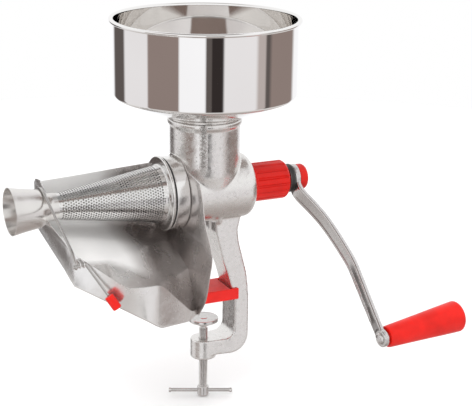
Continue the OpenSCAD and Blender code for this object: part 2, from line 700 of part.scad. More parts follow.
// Auger: a core with one helical flight that follows the cone
thrust_room = 4; // room for the thrust washer behind the auger
auger_setback = 9; // distance of the auger's tip from the cone's end
flight_min = 3; // least height of the flight
flight_root = 1.5; // how far the flight is rooted in the core
auger_back_x = rear_x - rear_wall - thrust_room;
auger_tip_x = cone_tip_x + auger_setback;
core_full_share = 0.35; // where the core reaches its full radius
auger_gap = 1; // gap between the flight and the wall round it
function flight_radius(x) = x > flange_back_x
    ? spigot_bore - auger_gap
    : mix(cone_small_r, cone_big_r, (x - cone_tip_x) / cone_len) - cone_t - auger_gap;
function core_radius(x) = min(auger_core_r, flight_radius(x) - flight_min);
flight_steps = 20; // steps a turn

module flight() {
    length = auger_back_x - auger_tip_x;
    n = round(flight_steps * length / auger_pitch);
    rings = [for (i = [0 : n]) let(
        x = auger_back_x - flight_t - (length - flight_t) * i / n,
        a = 360 * (x - auger_back_x) / auger_pitch,
        out = flight_radius(x),
        in = core_radius(x) - flight_root)
        [[x, in * cos(a), shaft_h + in * sin(a)],
         [x + 0.2 * flight_t, out * cos(a), shaft_h + out * sin(a)],
         [x + 0.8 * flight_t, out * cos(a), shaft_h + out * sin(a)],
         [x + flight_t, in * cos(a), shaft_h + in * sin(a)]]];
    skin(rings);
}

shaft_reach = 12; // how far the shaft's bore runs on in front of the barrel
pin_setback = 20; // distance of the cross pin from the barrel's front
auger_bore_x = front_x - shaft_reach;
pin_place_x = front_x + pin_setback;
module auger() {
    color("ivory") difference() {
        union() {
            flight();
            turned([[0, auger_tip_x], [core_radius(auger_tip_x) - edge, auger_tip_x],
                [core_radius(auger_tip_x), auger_tip_x + 1.5 * edge],
                [auger_core_r, mix(auger_tip_x, flange_back_x, core_full_share)],
                [auger_core_r, auger_back_x], [0, auger_back_x]]);
        }
        round_x(auger_bore_x, auger_back_x + cut, shaft_r + run);
        translate([pin_place_x, 0, shaft_h - spigot_bore])
            cylinder(h = 2 * spigot_bore, r = cross_r + run, $fn = wire_fn);
    }
}

cross_r = 2; // radius of the cross pin
cross_inset = 0.6; // how far its ends stay inside the core
module auger_pin() {
    color("gray") translate([pin_place_x, 0, shaft_h - auger_core_r + cross_inset])
        cylinder(h = 2 * (auger_core_r - cross_inset), r = cross_r, $fn = wire_fn);
}

// Shaft train behind the barrel
nut_x = rear_x + boss_step + seat;
nut_end_x = nut_x + nut_len;
sleeve_wall = 3; // wall of the bearing sleeve
sleeve_r = shaft_r + sleeve_wall;
sleeve_end_x = rear_x + rear_spigot_len;
sleeve_setback = 0.5; // how far the sleeve stays behind the thrust face
seal_t = 5; // thickness of the shaft's seal
seal_inset = 1; // how far the seal stays inside the spigot
washer_t = 8; // thickness of the collar behind the arm
washer_x = nut_end_x + seat;
eye_x = washer_x + washer_t + touch;
eye_t = arm_t + 1;
knob_x = eye_x + eye_t + touch;
stud_r = 4;
shaft_end_x = eye_x + eye_t;
stud_short = 3; // how far the stud stays inside the knob
flat_cut = 1.2; // depth of the shaft's flats
shaft_gap = 1; // gap between the shaft's end and the bottom of its bore

module drive_shaft() {
    color("silver") difference() {
        union() {
            round_x(auger_bore_x + shaft_gap, shaft_end_x - touch, shaft_r);
            round_x(shaft_end_x - cut, shaft_end_x + knob_t - stud_short, stud_r);
        }
        for (side = [-1, 1])
            translate([eye_x - cut, -2 * shaft_r, shaft_h + side * shaft_r - flat_cut])
                cube([eye_t + 2 * cut, 4 * shaft_r, 2 * flat_cut]);
        translate([pin_place_x, 0, shaft_h - 2 * shaft_r])
            cylinder(h = 4 * shaft_r, r = cross_r + run, $fn = wire_fn);
    }
}

module shaft_sleeve() {
    color("white") difference() {
        round_x(rear_x - rear_wall + sleeve_setback, sleeve_end_x, sleeve_r);
        round_x(rear_x - rear_wall - cut, sleeve_end_x + cut, shaft_r + run);
    }
}

module shaft_seal() {
    color("dimgray") difference() {
        round_x(sleeve_end_x + touch, sleeve_end_x + seal_t, rear_spigot_r - seal_inset);
        round_x(sleeve_end_x - cut, sleeve_end_x + seal_t + cut, shaft_r + run);
    }
}

module thrust_washer() {
    color("white") difference() {
        round_x(auger_back_x + seat, rear_x - rear_wall - touch, 1.5 * auger_core_r);
        round_x(auger_back_x - cut, rear_x - rear_wall + cut, shaft_r + seat);
    }
}

// Ribbed red nut that closes the rear spigot
rib_r = 1.5; // radius of the grooves between the ribs
rib_start = 3; // plain band in front of the ribs
nut_edge = 0.8; // chamfer of the nut's front
nut_nose = 4; // rounding of the nut's rear end
nut_play = 0.5; // gap round the shaft
module rear_nut() {
    color("red") difference() {
        turned([[0, nut_x], [nut_r - nut_edge, nut_x], [nut_r, nut_x + nut_edge],
            [nut_r, nut_end_x - nut_nose], [nut_r - nut_nose / 4, nut_end_x - 0.6 * nut_nose],
            [nut_r - nut_nose, nut_end_x], [0, nut_end_x]]);
        for (i = [0 : nut_ribs - 1]) translate([0, 0, shaft_h])
            rotate([360 * i / nut_ribs, 0, 0]) translate([nut_x + rib_start, 0, nut_r + 0.7 * rib_r])
                rotate([0, 90, 0]) cylinder(h = nut_len, r = rib_r, $fn = 16);
        round_x(nut_x - cut, sleeve_end_x + seal_t + touch, rear_spigot_r + touch);
        round_x(nut_x - cut, nut_end_x + cut, shaft_r + nut_play);
    }
}

collar_edge = 0.6; // rounding of the collar behind the arm
module crank_washer() {
    color("dimgray") difference() {
        turned([[0, washer_x], [eye_r - 2 * collar_edge, washer_x],
            [eye_r + collar_edge, washer_x + 3 * collar_edge],
            [eye_r + collar_edge, washer_x + washer_t - 2 * collar_edge],
            [eye_r - collar_edge, washer_x + washer_t], [0, washer_x + washer_t]]);
        round_x(washer_x - cut, washer_x + washer_t + cut, shaft_r + run);
    }
}

// Crank arm: path in the plane of the crank, as shares of offset and radius
arm_shares = [[0, 0.04], [0.02, 0.1], [0.3, 0.2], [0.5, 0.28], [0.66, 0.37], [0.8, 0.47],
    [0.9, 0.56], [0.93, 0.67], [0.945, 0.78], [0.965, 0.89], [0.985, 0.985]];
eye_mid_x = eye_x + eye_t / 2;
end_w_share = 0.66; // width of the arm at its outer end
end_t_share = 0.8; // thickness of the arm at its outer end
down = [0, -cos(crank_angle), -sin(crank_angle)];
across = [0, sin(crank_angle), -cos(crank_angle)];
axis_point = [0, 0, shaft_h];
end_point = axis_point + [eye_mid_x + crank_offset, 0, 0] + crank_r * down;
grip_dir = [cos(grip_lean), 0, 0] - sin(grip_lean) * down;
end_down = [sin(grip_lean), 0, 0] + cos(grip_lean) * down;

function arm_place(s) = axis_point + [eye_mid_x + crank_offset * s[0], 0, 0] + crank_r * s[1] * down;

bar_shares = [[-1, -0.6], [-0.85, -1], [0.85, -1], [1, -0.6], [1, 0.6], [0.85, 1], [-0.85, 1], [-1, 0.6]];
module arm_bar() {
    n = len(arm_shares);
    places = [for (s = arm_shares) arm_place(s)];
    rings = [for (i = [0 : n - 1]) let(
        t = unit(places[min(i + 1, n - 1)] - places[max(i - 1, 0)]),
        side = cross(t, across),
        w = mix(arm_w, arm_w * end_w_share, i / (n - 1)) / 2,
        h = mix(arm_t, arm_t * end_t_share, i / (n - 1)) / 2)
        [for (q = bar_shares) places[i] + w * q[0] * across + h * q[1] * side]];
    skin(rings);
}

// Turns a piece modelled along +Z so that it runs along the grip's axis from the outer eye
module at_end() {
    translate(end_point) multmatrix([[end_down[0], across[0], grip_dir[0], 0],
        [end_down[1], across[1], grip_dir[1], 0], [end_down[2], across[2], grip_dir[2], 0],
        [0, 0, 0, 1]]) children();
}

module crank_arm() {
    color("silver") difference() {
        union() {
            arm_bar();
            round_x(eye_x, eye_x + eye_t, eye_r);
            at_end() translate([0, 0, -arm_t / 2]) cylinder(h = arm_t, r = end_eye_r, $fn = 64);
        }
        difference() {
            round_x(eye_x - cut, eye_x + eye_t + cut, shaft_r + run);
            for (side = [-1, 1])
                translate([eye_x - cut, -2 * shaft_r, shaft_h + side * shaft_r - flat_cut + touch])
                    cube([eye_t + 2 * cut, 4 * shaft_r, 2 * (flat_cut - touch)]);
        }
        at_end() translate([0, 0, -arm_t]) cylinder(h = 2 * arm_t, r = pin_r + run, $fn = 64);
    }
}

module crank_knob() {
    color("red") difference() {
        turned([[0, knob_x], [knob_r - edge, knob_x], [knob_r, knob_x + edge],
            [knob_r, knob_x + 0.62 * knob_t], [0.915 * knob_r, knob_x + 0.8 * knob_t],
            [0.72 * knob_r, knob_x + 0.93 * knob_t],
            [0.4 * knob_r, knob_x + knob_t], [0, knob_x + knob_t]]);
        round_x(knob_x - cut, knob_x + knob_t - knob_wall, insert_r + touch);
    }
}

insert_wall = 3; // wall of the brass insert
insert_r = stud_r + insert_wall;
knob_wall = 2; // plastic over the insert's end
insert_floor = 0.35; // end wall of the insert
module knob_insert() {
    color("gold") difference() {
        round_x(knob_x, knob_x + knob_t - knob_wall - touch, insert_r);
        round_x(knob_x - cut, knob_x + knob_t - knob_wall - touch - insert_floor, stud_r + run);
    }
}

// Grip and its riveted pin
grip_washer_t = 1.4; // thickness of the washer behind the grip
grip_washer_r = 8.4; // radius of that washer
pin_room = 1; // room at the end of the grip's bore
rivet_r = 6.4; // radius of the pin's riveted head
rivet_h = 3.3; // height of the pin's riveted head
rivet_shares = [[1, 0], [0.97, 0.24], [0.84, 0.55], [0.59, 0.82], [0.28, 0.97], [0, 1]];
grip_start = arm_t / 2 + grip_washer_t + 4 * seat;
pin_len = 0.8 * grip_len;
grip_shares = [[-0.14, 0], [0, 0.02], [0.12, 0.12], [0.42, 0.4], [0.77, 0.7], [0.96, 0.88], [1, 0.93]];

module grip() {
    body_points = [for (s = grip_shares)
        [mix(grip_small_r, grip_big_r, s[0]), grip_start + grip_len * s[1]]];
    nose = [for (a = [15 : 15 : 75])
        [grip_big_r * cos(a), grip_start + grip_len * (0.93 + 0.07 * sin(a))]];
    color("red") at_end() difference() {
        rotate_extrude($fn = 64)
            polygon(concat([[0, grip_start]], body_points, nose, [[0, grip_start + grip_len]]));
        translate([0, 0, grip_start - cut])
            cylinder(h = pin_len + cut + pin_room, r = pin_r + run, $fn = 64);
    }
}

module grip_pin() {
    color("silver") at_end() {
        translate([0, 0, -arm_t / 2 - touch])
            cylinder(h = arm_t / 2 + grip_start + pin_len, r = pin_r, $fn = 64);
        translate([0, 0, -arm_t / 2 - touch]) mirror([0, 0, 1]) rotate_extrude($fn = 64)
            polygon(concat([[0, 0]], [for (s = rivet_shares) [rivet_r * s[0], rivet_h * s[1]]]));
    }
}

module grip_washer() {
    color("lightgray") at_end() difference() {
        translate([0, 0, arm_t / 2 + touch]) cylinder(h = grip_washer_t, r = grip_washer_r, $fn = 64);
        translate([0, 0, arm_t / 2 - cut])
            cylinder(h = grip_washer_t + 3 * cut, r = pin_r + run, $fn = 64);
    }
}

body();
hopper();
hopper_neck();
jaw_pad();
clamp_screw();
clamp_bar();
clamp_disc();
strainer_cone();
outlet_cup();
cone_ring();
cone_gasket();
splash_guard();
latch_lever();
lever_tip();
guard_wire();
auger();
auger_pin();
drive_shaft();
shaft_sleeve();
shaft_seal();
thrust_washer();
rear_nut();
crank_washer();
crank_arm();
crank_knob();
knob_insert();
grip();
grip_pin();
grip_washer();
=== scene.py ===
from math import cos, hypot, pi, radians, sin

import bmesh
import bpy
import numpy as np
from bpy.props import FloatProperty, FloatVectorProperty, IntProperty, PointerProperty
from mathutils import Matrix


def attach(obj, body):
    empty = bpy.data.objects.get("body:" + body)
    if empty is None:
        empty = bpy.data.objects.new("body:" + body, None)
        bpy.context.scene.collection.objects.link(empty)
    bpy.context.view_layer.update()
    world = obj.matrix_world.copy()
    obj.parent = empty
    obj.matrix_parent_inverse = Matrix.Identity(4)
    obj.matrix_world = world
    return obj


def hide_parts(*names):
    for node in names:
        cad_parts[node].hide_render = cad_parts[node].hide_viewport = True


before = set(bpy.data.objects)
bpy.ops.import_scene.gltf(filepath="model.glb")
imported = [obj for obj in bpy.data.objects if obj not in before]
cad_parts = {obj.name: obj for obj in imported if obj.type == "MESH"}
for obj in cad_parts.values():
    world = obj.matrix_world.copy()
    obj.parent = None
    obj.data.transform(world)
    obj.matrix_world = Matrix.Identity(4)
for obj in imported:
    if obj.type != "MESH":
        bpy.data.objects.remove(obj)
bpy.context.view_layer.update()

bl_info = {
    "name": "Tomato Strainer With Crank",
    "version": (1, 0, 0),
    "blender": (4, 5, 0),
    "location": "3D View > Sidebar > Strainer",
    "description": "Builds the visible pieces of a hand cranked tomato strainer over its solids",
    "category": "Object",
}

MM = 0.001
TURN = 2 * pi
SAME_PLACE = 0.002 * MM  # points nearer than this are merged into one
TINY = 1e-12  # stands in for a length of nothing, so that it can be divided by
SHAFT_Z = 125.0  # height of the drive shaft over the upper jaw's underside, mm
CAMERA_SIDE = radians(161)  # side of the shaft that faces the camera


# Sizes and colours

def length(name, about, size):
    """A length in metres, given in millimetres."""
    return FloatProperty(name=name, description=about, default=size * MM, min=0.0, unit="LENGTH")


def colour(name, about, shade):
    """A linear colour."""
    return FloatVectorProperty(name=name, description=about, default=shade, size=3,
                               subtype="COLOR", min=0.0, max=1.0)


class HopperSettings(bpy.types.PropertyGroup):
    """The bowl and the neck under it"""
    radius: length("Bowl radius", "Outer radius of the bowl's wall", 96)
    sheet: length("Bowl sheet", "Thickness of the bowl's sheet", 1.2)
    bead: length("Rim bead", "Radius of the rolled rim", 2)
    steel: colour("Bowl steel", "Colour of the polished bowl", (0.93, 0.92, 0.91))


class CastingSettings(bpy.types.PropertyGroup):
    """The cast body with its leg and clamp frame"""
    voxel: length("Voxel", "Size of the voxels that round the casting's corners", 1.1)
    metal: colour("Cast metal", "Colour of the cast aluminium", (0.83, 0.815, 0.80))
    shoe: colour("Jaw shoe", "Colour of the plastic shoe on the jaw", (0.82, 0.010, 0.005))


class ClampSettings(bpy.types.PropertyGroup):
    """The clamp screw, its bar and its disc"""
    thread: length("Thread depth", "Depth of the clamp screw's thread", 0.9)
    pitch: length("Thread pitch", "Pitch of the clamp screw's thread", 1.5)
    plate: colour("Plated steel", "Colour of the zinc plated screw and bar", (0.70, 0.68, 0.67))


class StrainerSettings(bpy.types.PropertyGroup):
    """The perforated cone, its ring and the outlet cup"""
    hole_pitch: length("Hole pitch", "Distance between neighbouring holes", 3.0)
    hole: length("Hole radius", "Radius of a hole", 1.02)
    steel: colour("Cone steel", "Colour of the perforated sheet", (0.86, 0.85, 0.84))
    spun: colour("Cup steel", "Colour of the spun outlet cup", (0.80, 0.78, 0.76))


class GuardSettings(bpy.types.PropertyGroup):
    """The splash guard and its latch"""
    sheet: length("Guard sheet", "Thickness of the guard's sheet", 1.0)
    crease: length("Crease", "Softness of the guard's folds", 5)
    wire: length("Wire radius", "Radius of the retaining wire and the lever", 1.3)
    steel: colour("Guard steel", "Colour of the guard's sheet", (0.88, 0.87, 0.86))


class DriveSettings(bpy.types.PropertyGroup):
    """The auger and the pieces behind the barrel"""
    flutes: IntProperty(name="Nut flutes", description="Flutes around the rear nut", default=16, min=8)
    flute_depth: length("Flute depth", "Depth of the rear nut's flutes", 1.5)
    nylon: colour("Nylon", "Colour of the auger and the bearing", (0.86, 0.84, 0.79))


class CrankSettings(bpy.types.PropertyGroup):
    """The crank arm, its knob and the grip"""
    recess: length("Arm recess", "Depth of the recess along the arm", 0.9)
    plastic: colour("Red plastic", "Colour of the knob, the nut and the grip", (0.68, 0.008, 0.003))
    metal: colour("Arm metal", "Colour of the crank arm", (0.70, 0.68, 0.67))


class StageSettings(bpy.types.PropertyGroup):
    """The floor, the light and the camera"""
    floor: colour("Floor", "Colour of the floor", (0.92, 0.92, 0.92))
    light: FloatProperty(name="Light", description="Strength of the soft light on matt surfaces",
                         default=1.05, min=0.0)
    lens: FloatProperty(name="Lens", description="Focal length of the camera in millimetres",
                        default=103.72, min=1.0, subtype="DISTANCE_CAMERA")


# Surfaces worked out as arrays

def unit(v):
    """Each vector divided by its own length."""
    return v / np.maximum(np.linalg.norm(v, axis=-1, keepdims=True), TINY)


def distinct(points):
    """Leaves out each point that lies on the one before it."""
    least_step = 1e-4
    step = np.linalg.norm(np.diff(points, axis=0), axis=1)
    return points[np.concatenate([[True], step > least_step])]


def angles_of(count):
    """Angles that share a turn out evenly, from zero."""
    return np.arange(count) * TURN / count


def soften(corners, radius, steps, closed=False):
    """A line whose corners become short curves: each is the parabola that leaves one side of the corner and
    meets the other a trim length from it, and the trim is the radius over the tangent of half the corner,
    or not quite half of the shorter side where that is less."""
    least_tangent, most_of_side = 1e-6, 0.49
    p = np.asarray(corners, float)
    around = np.concatenate([p[-1:], p, p[:1]]) if closed else p
    before, at, after = around[:-2], around[1:-1], around[2:]
    back, ahead = unit(before - at), unit(after - at)
    half = np.arccos(np.clip((back * ahead).sum(-1), -1, 1)) / 2
    size = np.broadcast_to(np.asarray(radius, float), len(at))
    room = np.minimum(np.linalg.norm(before - at, axis=1), np.linalg.norm(after - at, axis=1))
    trim = np.minimum(size / np.maximum(np.tan(half), least_tangent), most_of_side * room)[:, None, None]
    t = np.linspace(0, 1, steps)[None, :, None]
    at, back, ahead = at[:, None], back[:, None], ahead[:, None]
    curve = (1 - t) ** 2 * (at + trim * back) + 2 * t * (1 - t) * at + t ** 2 * (at + trim * ahead)
    curve = curve.reshape(-1, p.shape[1])
    return distinct(curve if closed else np.concatenate([p[:1], curve, p[-1:]]))


def flowing(points, per_span):
    """A curve through the points: on each span the cubic whose slope at a point is half the chord between
    that point's neighbours."""
    p = np.asarray(points, float)
    q = np.concatenate([2 * p[:1] - p[1:2], p, 2 * p[-1:] - p[-2:-1]])
    a, b, c, d = q[:-3, None], q[1:-2, None], q[2:-1, None], q[3:, None]
    t = np.linspace(0, 1, per_span, endpoint=False)[None, :, None]
    curve = 0.5 * (2 * b + (c - a) * t + (2 * a - 5 * b + 4 * c - d) * t ** 2
                   + (3 * b - a - 3 * c + d) * t ** 3)
    return np.concatenate([curve.reshape(-1, p.shape[1]), p[-1:]])


def arc(centre, radius, start, end, steps):
    """Points on a circle from one angle to another, in degrees."""
    a = np.radians(np.linspace(start, end, steps))
    return np.stack([centre[0] + radius * np.cos(a), centre[1] + radius * np.sin(a)], -1)


def tube(inner, outer, start, end, fillet, steps=4):
    """The profile of a plain ring with rounded edges."""
    return soften([(inner, start), (outer, start), (outer, end), (inner, end)], fillet, steps, True)


def quads(rows, columns, wrap_rows, wrap_columns):
    """The faces of a grid of points, as four point numbers each."""
    i = np.arange(rows if wrap_rows else rows - 1)[:, None]
    j = np.arange(columns if wrap_columns else columns - 1)[None, :]
    here, right = i * columns + j, i * columns + (j + 1) % columns
    below, corner = (i + 1) % rows * columns + j, (i + 1) % rows * columns + (j + 1) % columns
    return np.stack([here, right, corner, below], -1).reshape(-1, 4)


def braced(profile, closed):
    """A profile with two more points on every long straight of it, each a little way in from an end, so that
    smooth shading stays flat in between."""
    near, longest = 0.4, 3.0
    p = np.asarray(profile, float)
    start, end = (p, np.roll(p, -1, axis=0)) if closed else (p[:-1], p[1:])
    size = np.linalg.norm(end - start, axis=1, keepdims=True)
    inset = (end - start) * near / np.maximum(size, near)
    points = np.stack([start, start + inset, end - inset], 1)
    is_long = size[:, 0] > longest
    kept = points[np.stack([np.full(len(start), True), is_long, is_long], 1)]
    return kept if closed else np.concatenate([kept, p[-1:]])


def about_shaft(x, angles, radius):
    """Points about the shaft: the place along it, and the radius times the cosine and the sine."""
    x, angles, radius = np.broadcast_arrays(x, angles, radius)
    return np.stack([x, radius * np.cos(angles), SHAFT_Z + radius * np.sin(angles)], -1)


def lathe(profile, around, axis="X", closed=True):
    """A profile of [radius, place on the axis] points turned about an axis: radius times the cosine and the
    sine of the angle across the axis, and the place along it. X is the shaft's axis and Z the screw's."""
    profile = braced(profile, closed)
    a, r, place = angles_of(around), profile[:, :1], profile[:, 1:2]
    if axis == "X":
        points = about_shaft(place, a, r)
    else:
        points = np.stack([r * np.cos(a), r * np.sin(a), place + 0 * a], -1)
    return points.reshape(-1, 3), quads(len(profile), around, closed, True)


def circles(around, first_axis, second_axis):
    """Circles of radius one: the cosine of the angle on one axis and the sine on the other."""
    a = angles_of(around)[None, :, None]
    return np.cos(a) * first_axis + np.sin(a) * second_axis


def lathe_along(profile, around, start, direction, closed):
    """A lathe form about any line: the profile's place is measured from the start along the direction."""
    direction = unit(np.asarray(direction, float))
    askew = [0.31, 0.17, 0.93]  # no line here runs this way, so the cross product has a length
    side = unit(np.cross(direction, askew))
    profile = braced(profile, closed)
    r, place = profile[:, None, :1], profile[:, None, 1:2]
    ring = circles(around, side, np.cross(direction, side))
    points = np.asarray(start, float) + place * direction + r * ring
    return points.reshape(-1, 3), quads(len(profile), around, closed, True)


def domed(path, radius):
    """A path and its radii with a half ball added at both ends."""
    radius = np.broadcast_to(np.asarray(radius, float), len(path)).copy()
    a = np.linspace(0, pi / 2, 4)[:, None]
    first, last = unit(path[0] - path[1]), unit(path[-1] - path[-2])
    head = path[0] + radius[0] * np.sin(a) * first
    tail = path[-1] + radius[-1] * np.sin(a) * last
    cap = np.cos(a[:, 0])
    return (np.concatenate([head[::-1], path[1:-1], tail]),
            np.concatenate([radius[0] * cap[::-1], radius[1:-1], radius[-1] * cap]))


def rod(path, radius, around, across):
    """A round rod bent along a path: at each point a circle square to the path, turned from the direction
    given, with its ends domed."""
    path, radius = domed(distinct(np.asarray(path, float)), radius)
    along = unit(np.gradient(path, axis=0))
    side = unit(np.cross(np.asarray(across, float), along))
    ring = circles(around, side[:, None], np.cross(along, side)[:, None])
    points = path[:, None] + radius[:, None, None] * ring
    return points.reshape(-1, 3), quads(len(path), around, False, True)


def capped(outlines):
    """A row of outlines as one closed surface, both ends drawn in to their middles."""
    ends = outlines[[0, -1]].mean(axis=1, keepdims=True) + 0 * outlines[[0, -1]]
    points = np.concatenate([ends[:1], outlines, ends[1:]])
    return points.reshape(-1, 3), quads(len(points), points.shape[1], False, True)


def swept(places, first_axis, second_axis, outline):
    """An outline carried along a path: each outline has its own scale and stands on two axes there."""
    across, up = outline[..., :1], outline[..., 1:]
    return capped(places[:, None] + across * first_axis[:, None] + up * second_axis[:, None])


def zipped(lower, upper):
    """Triangles between two rings of points whose counts differ, the lower ring's points numbered first. Both
    rings are given by their angles, and each edge is joined to the point of the other ring that lies next
    to the edge's middle."""
    n, m = len(lower), len(upper)
    low_mid, up_mid = lower + pi / n, upper + pi / m
    j, k = np.arange(n), np.arange(m)
    facing_up = np.searchsorted(up_mid, low_mid) % m
    facing_down = np.searchsorted(low_mid, up_mid) % n
    below = np.stack([j, (j + 1) % n, n + facing_up], -1)
    above = np.stack([n + (k + 1) % m, n + k, facing_down], -1)
    return np.concatenate([below, above])


def flipped(faces):
    """The same faces seen from the other side."""
    return faces[:, ::-1]


def renumbered(faces, start):
    """Faces as plain lists, with their point numbers counted from a start."""
    if isinstance(faces, np.ndarray):
        return (faces + start).tolist()
    return [[i + start for i in face] for face in faces]


def meshed(name, points, faces):
    """A mesh in metres from points in mm and faces."""
    mesh = bpy.data.meshes.new(name)
    mesh.from_pydata(points * MM, [], faces)
    return mesh


def mended(mesh, join=True, turn_out=True):
    """Merges a mesh's doubled points and turns its faces outwards."""
    work = bmesh.new()
    work.from_mesh(mesh)
    if join:
        bmesh.ops.remove_doubles(work, verts=work.verts, dist=SAME_PLACE)
    if turn_out:
        bmesh.ops.recalc_face_normals(work, faces=work.faces)
    work.to_mesh(mesh)
    work.free()
    return mesh


def placed(name, data):
    """A new object in the scene that holds a mesh, a curve, a lamp or a camera."""
    holder = bpy.data.objects.new(name, data)
    bpy.context.scene.collection.objects.link(holder)
    return holder


def piece(name, parts, finish, body, node, sharp=38):
    """Puts points in mm and their faces into one mesh, and hands it to the body that carries it and the node
    that it stands for."""
    starts = np.cumsum([0] + [len(points) for points, _ in parts])
    points = np.concatenate([points for points, _ in parts])
    faces = [face for start, (_, part) in zip(starts, parts) for face in renumbered(part, start)]
    return dressed(placed(name, mended(meshed(name, points, faces))), finish, body, node, sharp)


def smoothed(mesh, sharp):
    """Shades a mesh smooth, apart from edges that are sharper than so many degrees."""
    mesh.shade_smooth()
    mesh.set_sharp_from_angle(angle=radians(sharp))


def dressed(shape, finish, body, node, sharp):
    """Gives a shape its smooth shading, its finish, its body and its node, and a slot that holds the
    finish."""
    smoothed(shape.data, sharp)
    shape.data.materials.clear()
    shape.data.materials.append(FINISHES[finish])
    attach(shape, body)
    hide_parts(node)
    return shape


def merged_copy(name, node):
    """A new object with a copy of a node's mesh whose doubled points are merged."""
    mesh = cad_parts[node].data.copy()
    mesh.name = name
    return placed(name, mended(mesh, turn_out=False))


def settled(shape):
    """Replaces a shape's mesh by what its modifiers make of it, and takes the modifiers off."""
    graph = bpy.context.evaluated_depsgraph_get()
    graph.update()
    mesh = bpy.data.meshes.new_from_object(shape.evaluated_get(graph))
    shape.modifiers.clear()
    shape.data = mesh
    mesh.name = shape.name


def cast_round(shape, voxel, passes):
    """Rebuilds a shape from voxels and smooths it, which rounds every corner as in a casting."""
    remesh = shape.modifiers.new("rounding", "REMESH")
    remesh.mode = "VOXEL"
    remesh.voxel_size = voxel
    smooth = shape.modifiers.new("smoothing", "SMOOTH")
    smooth.factor = 0.5
    smooth.iterations = passes
    settled(shape)


def mesh_points(mesh):
    """All points of a mesh in mm, as one array."""
    points = np.empty(len(mesh.vertices) * 3)
    mesh.vertices.foreach_get("co", points)
    return points.reshape(-1, 3) / MM


# Shader maths

class Value:
    """One output socket. Python's arithmetic on it adds the Math nodes that do the same."""

    def __init__(self, tree, socket):
        self.tree = tree
        self.socket = socket

    def __add__(self, other):
        return self.tree.maths("ADD", self, other)

    def __sub__(self, other):
        return self.tree.maths("SUBTRACT", self, other)

    def __rsub__(self, other):
        return self.tree.maths("SUBTRACT", other, self)

    def __mul__(self, other):
        return self.tree.maths("MULTIPLY", self, other)

    def __truediv__(self, other):
        return self.tree.maths("DIVIDE", self, other)

    __radd__ = __add__
    __rmul__ = __mul__


class Shading:
    """A node tree and the calls that fill it."""

    def __init__(self, owner):
        owner.use_nodes = True
        self.nodes = owner.node_tree.nodes
        self.links = owner.node_tree.links
        self.nodes.clear()

    def node(self, kind, settings=None, inputs=None, output=0):
        """Adds one node of any type, with its settings first and then its sockets' values or links."""
        made = self.nodes.new(kind)
        for name, setting in (settings or {}).items():
            if name == "stops":
                self.fill_ramp(made.color_ramp, setting)
            else:
                setattr(made, name, setting)
        for key, value in (inputs or {}).items():
            socket = self.find(made.inputs, key)
            if isinstance(value, Value):
                self.links.new(value.socket, socket)
            elif np.ndim(value) and len(value) == 3 and len(socket.default_value) == 4:
                socket.default_value = (*value, 1.0)
            else:
                socket.default_value = value
        return Value(self, self.find(made.outputs, output)) if len(made.outputs) else made

    @staticmethod
    def find(sockets, key):
        """A socket by its number, its identifier or its name."""
        if isinstance(key, int):
            return sockets[key]
        return next(s for s in sockets if key in (s.identifier, s.name))

    @staticmethod
    def fill_ramp(ramp, stops):
        """Gives a colour ramp its stops, each a place and a grey or a colour."""
        for _ in range(len(stops) - len(ramp.elements)):
            ramp.elements.new(1.0)
        for element, (place, shade) in zip(ramp.elements, stops):
            element.position = place
            element.color = (*(shade if np.ndim(shade) else (shade,) * 3), 1.0)

    def maths(self, operation, *values):
        """A Math node of one operation on numbers and values."""
        return self.node("ShaderNodeMath", {"operation": operation}, dict(enumerate(values)))

    def ramp(self, factor, stops):
        """The colour that a value has on a row of stops."""
        return self.node("ShaderNodeValToRGB", {"stops": stops}, {0: factor})

    def mix(self, factor, first, second):
        """The first colour at factor 0, the second at 1."""
        return self.node("ShaderNodeMix", {"data_type": "RGBA"},
                         {"Factor_Float": factor, "A_Color": first, "B_Color": second}, "Result_Color")

    def spread(self, value, low, high, out_low=0.0, out_high=1.0):
        """Maps a range onto another one, from 0 to 1 unless it is given, and holds it inside."""
        return self.node("ShaderNodeMapRange", {"clamp": True},
                         {0: value, 1: low, 2: high, 3: out_low, 4: out_high})

    def parts(self, vector):
        """The three numbers of a vector."""
        made = self.node("ShaderNodeSeparateXYZ", {}, {0: vector})
        return [Value(self, socket) for socket in made.socket.node.outputs]


class Finish(Shading):
    """A material, read in the object's own metres."""

    def __init__(self, name):
        self.material = bpy.data.materials.new(name)
        super().__init__(self.material)
        self.place = self.node("ShaderNodeTexCoord", output="Object")

    def noise(self, scale, detail, roughness=0.5, stretch=(1, 1, 1)):
        """Noise with a number of cycles a metre, stretched along an axis where asked."""
        place = self.place
        if stretch != (1, 1, 1):
            place = self.node("ShaderNodeMapping", {}, {"Vector": place, "Scale": stretch})
        return self.node("ShaderNodeTexNoise", {}, {"Vector": place, "Scale": scale, "Detail": detail,
                                                    "Roughness": roughness})

    def bump(self, height, strength, distance, under=None):
        """A normal from a height whose full rise is so many mm, on top of another normal where given."""
        inputs = {"Height": height, "Strength": strength, "Distance": distance * MM}
        if under:
            inputs["Normal"] = under
        return self.node("ShaderNodeBump", {}, inputs)

    def mottled(self, pattern, shade, share, low=0.35, high=0.7):
        """A colour that goes to a share of itself as a pattern rises from the low value to the high one."""
        return self.mix(self.spread(pattern, low, high), shade, tuple(share * c for c in shade))

    def worn_edges(self, low, high, most):
        """Grows from nothing to the most where an edge stands out."""
        return self.spread(self.node("ShaderNodeNewGeometry", output="Pointiness"), low, high, 0.0, most)

    def surface(self, inputs):
        """Ends the material with its surface and gives the material back."""
        shader = self.node("ShaderNodeBsdfPrincipled", {}, inputs)
        self.node("ShaderNodeOutputMaterial", {}, {"Surface": shader})
        return self.material


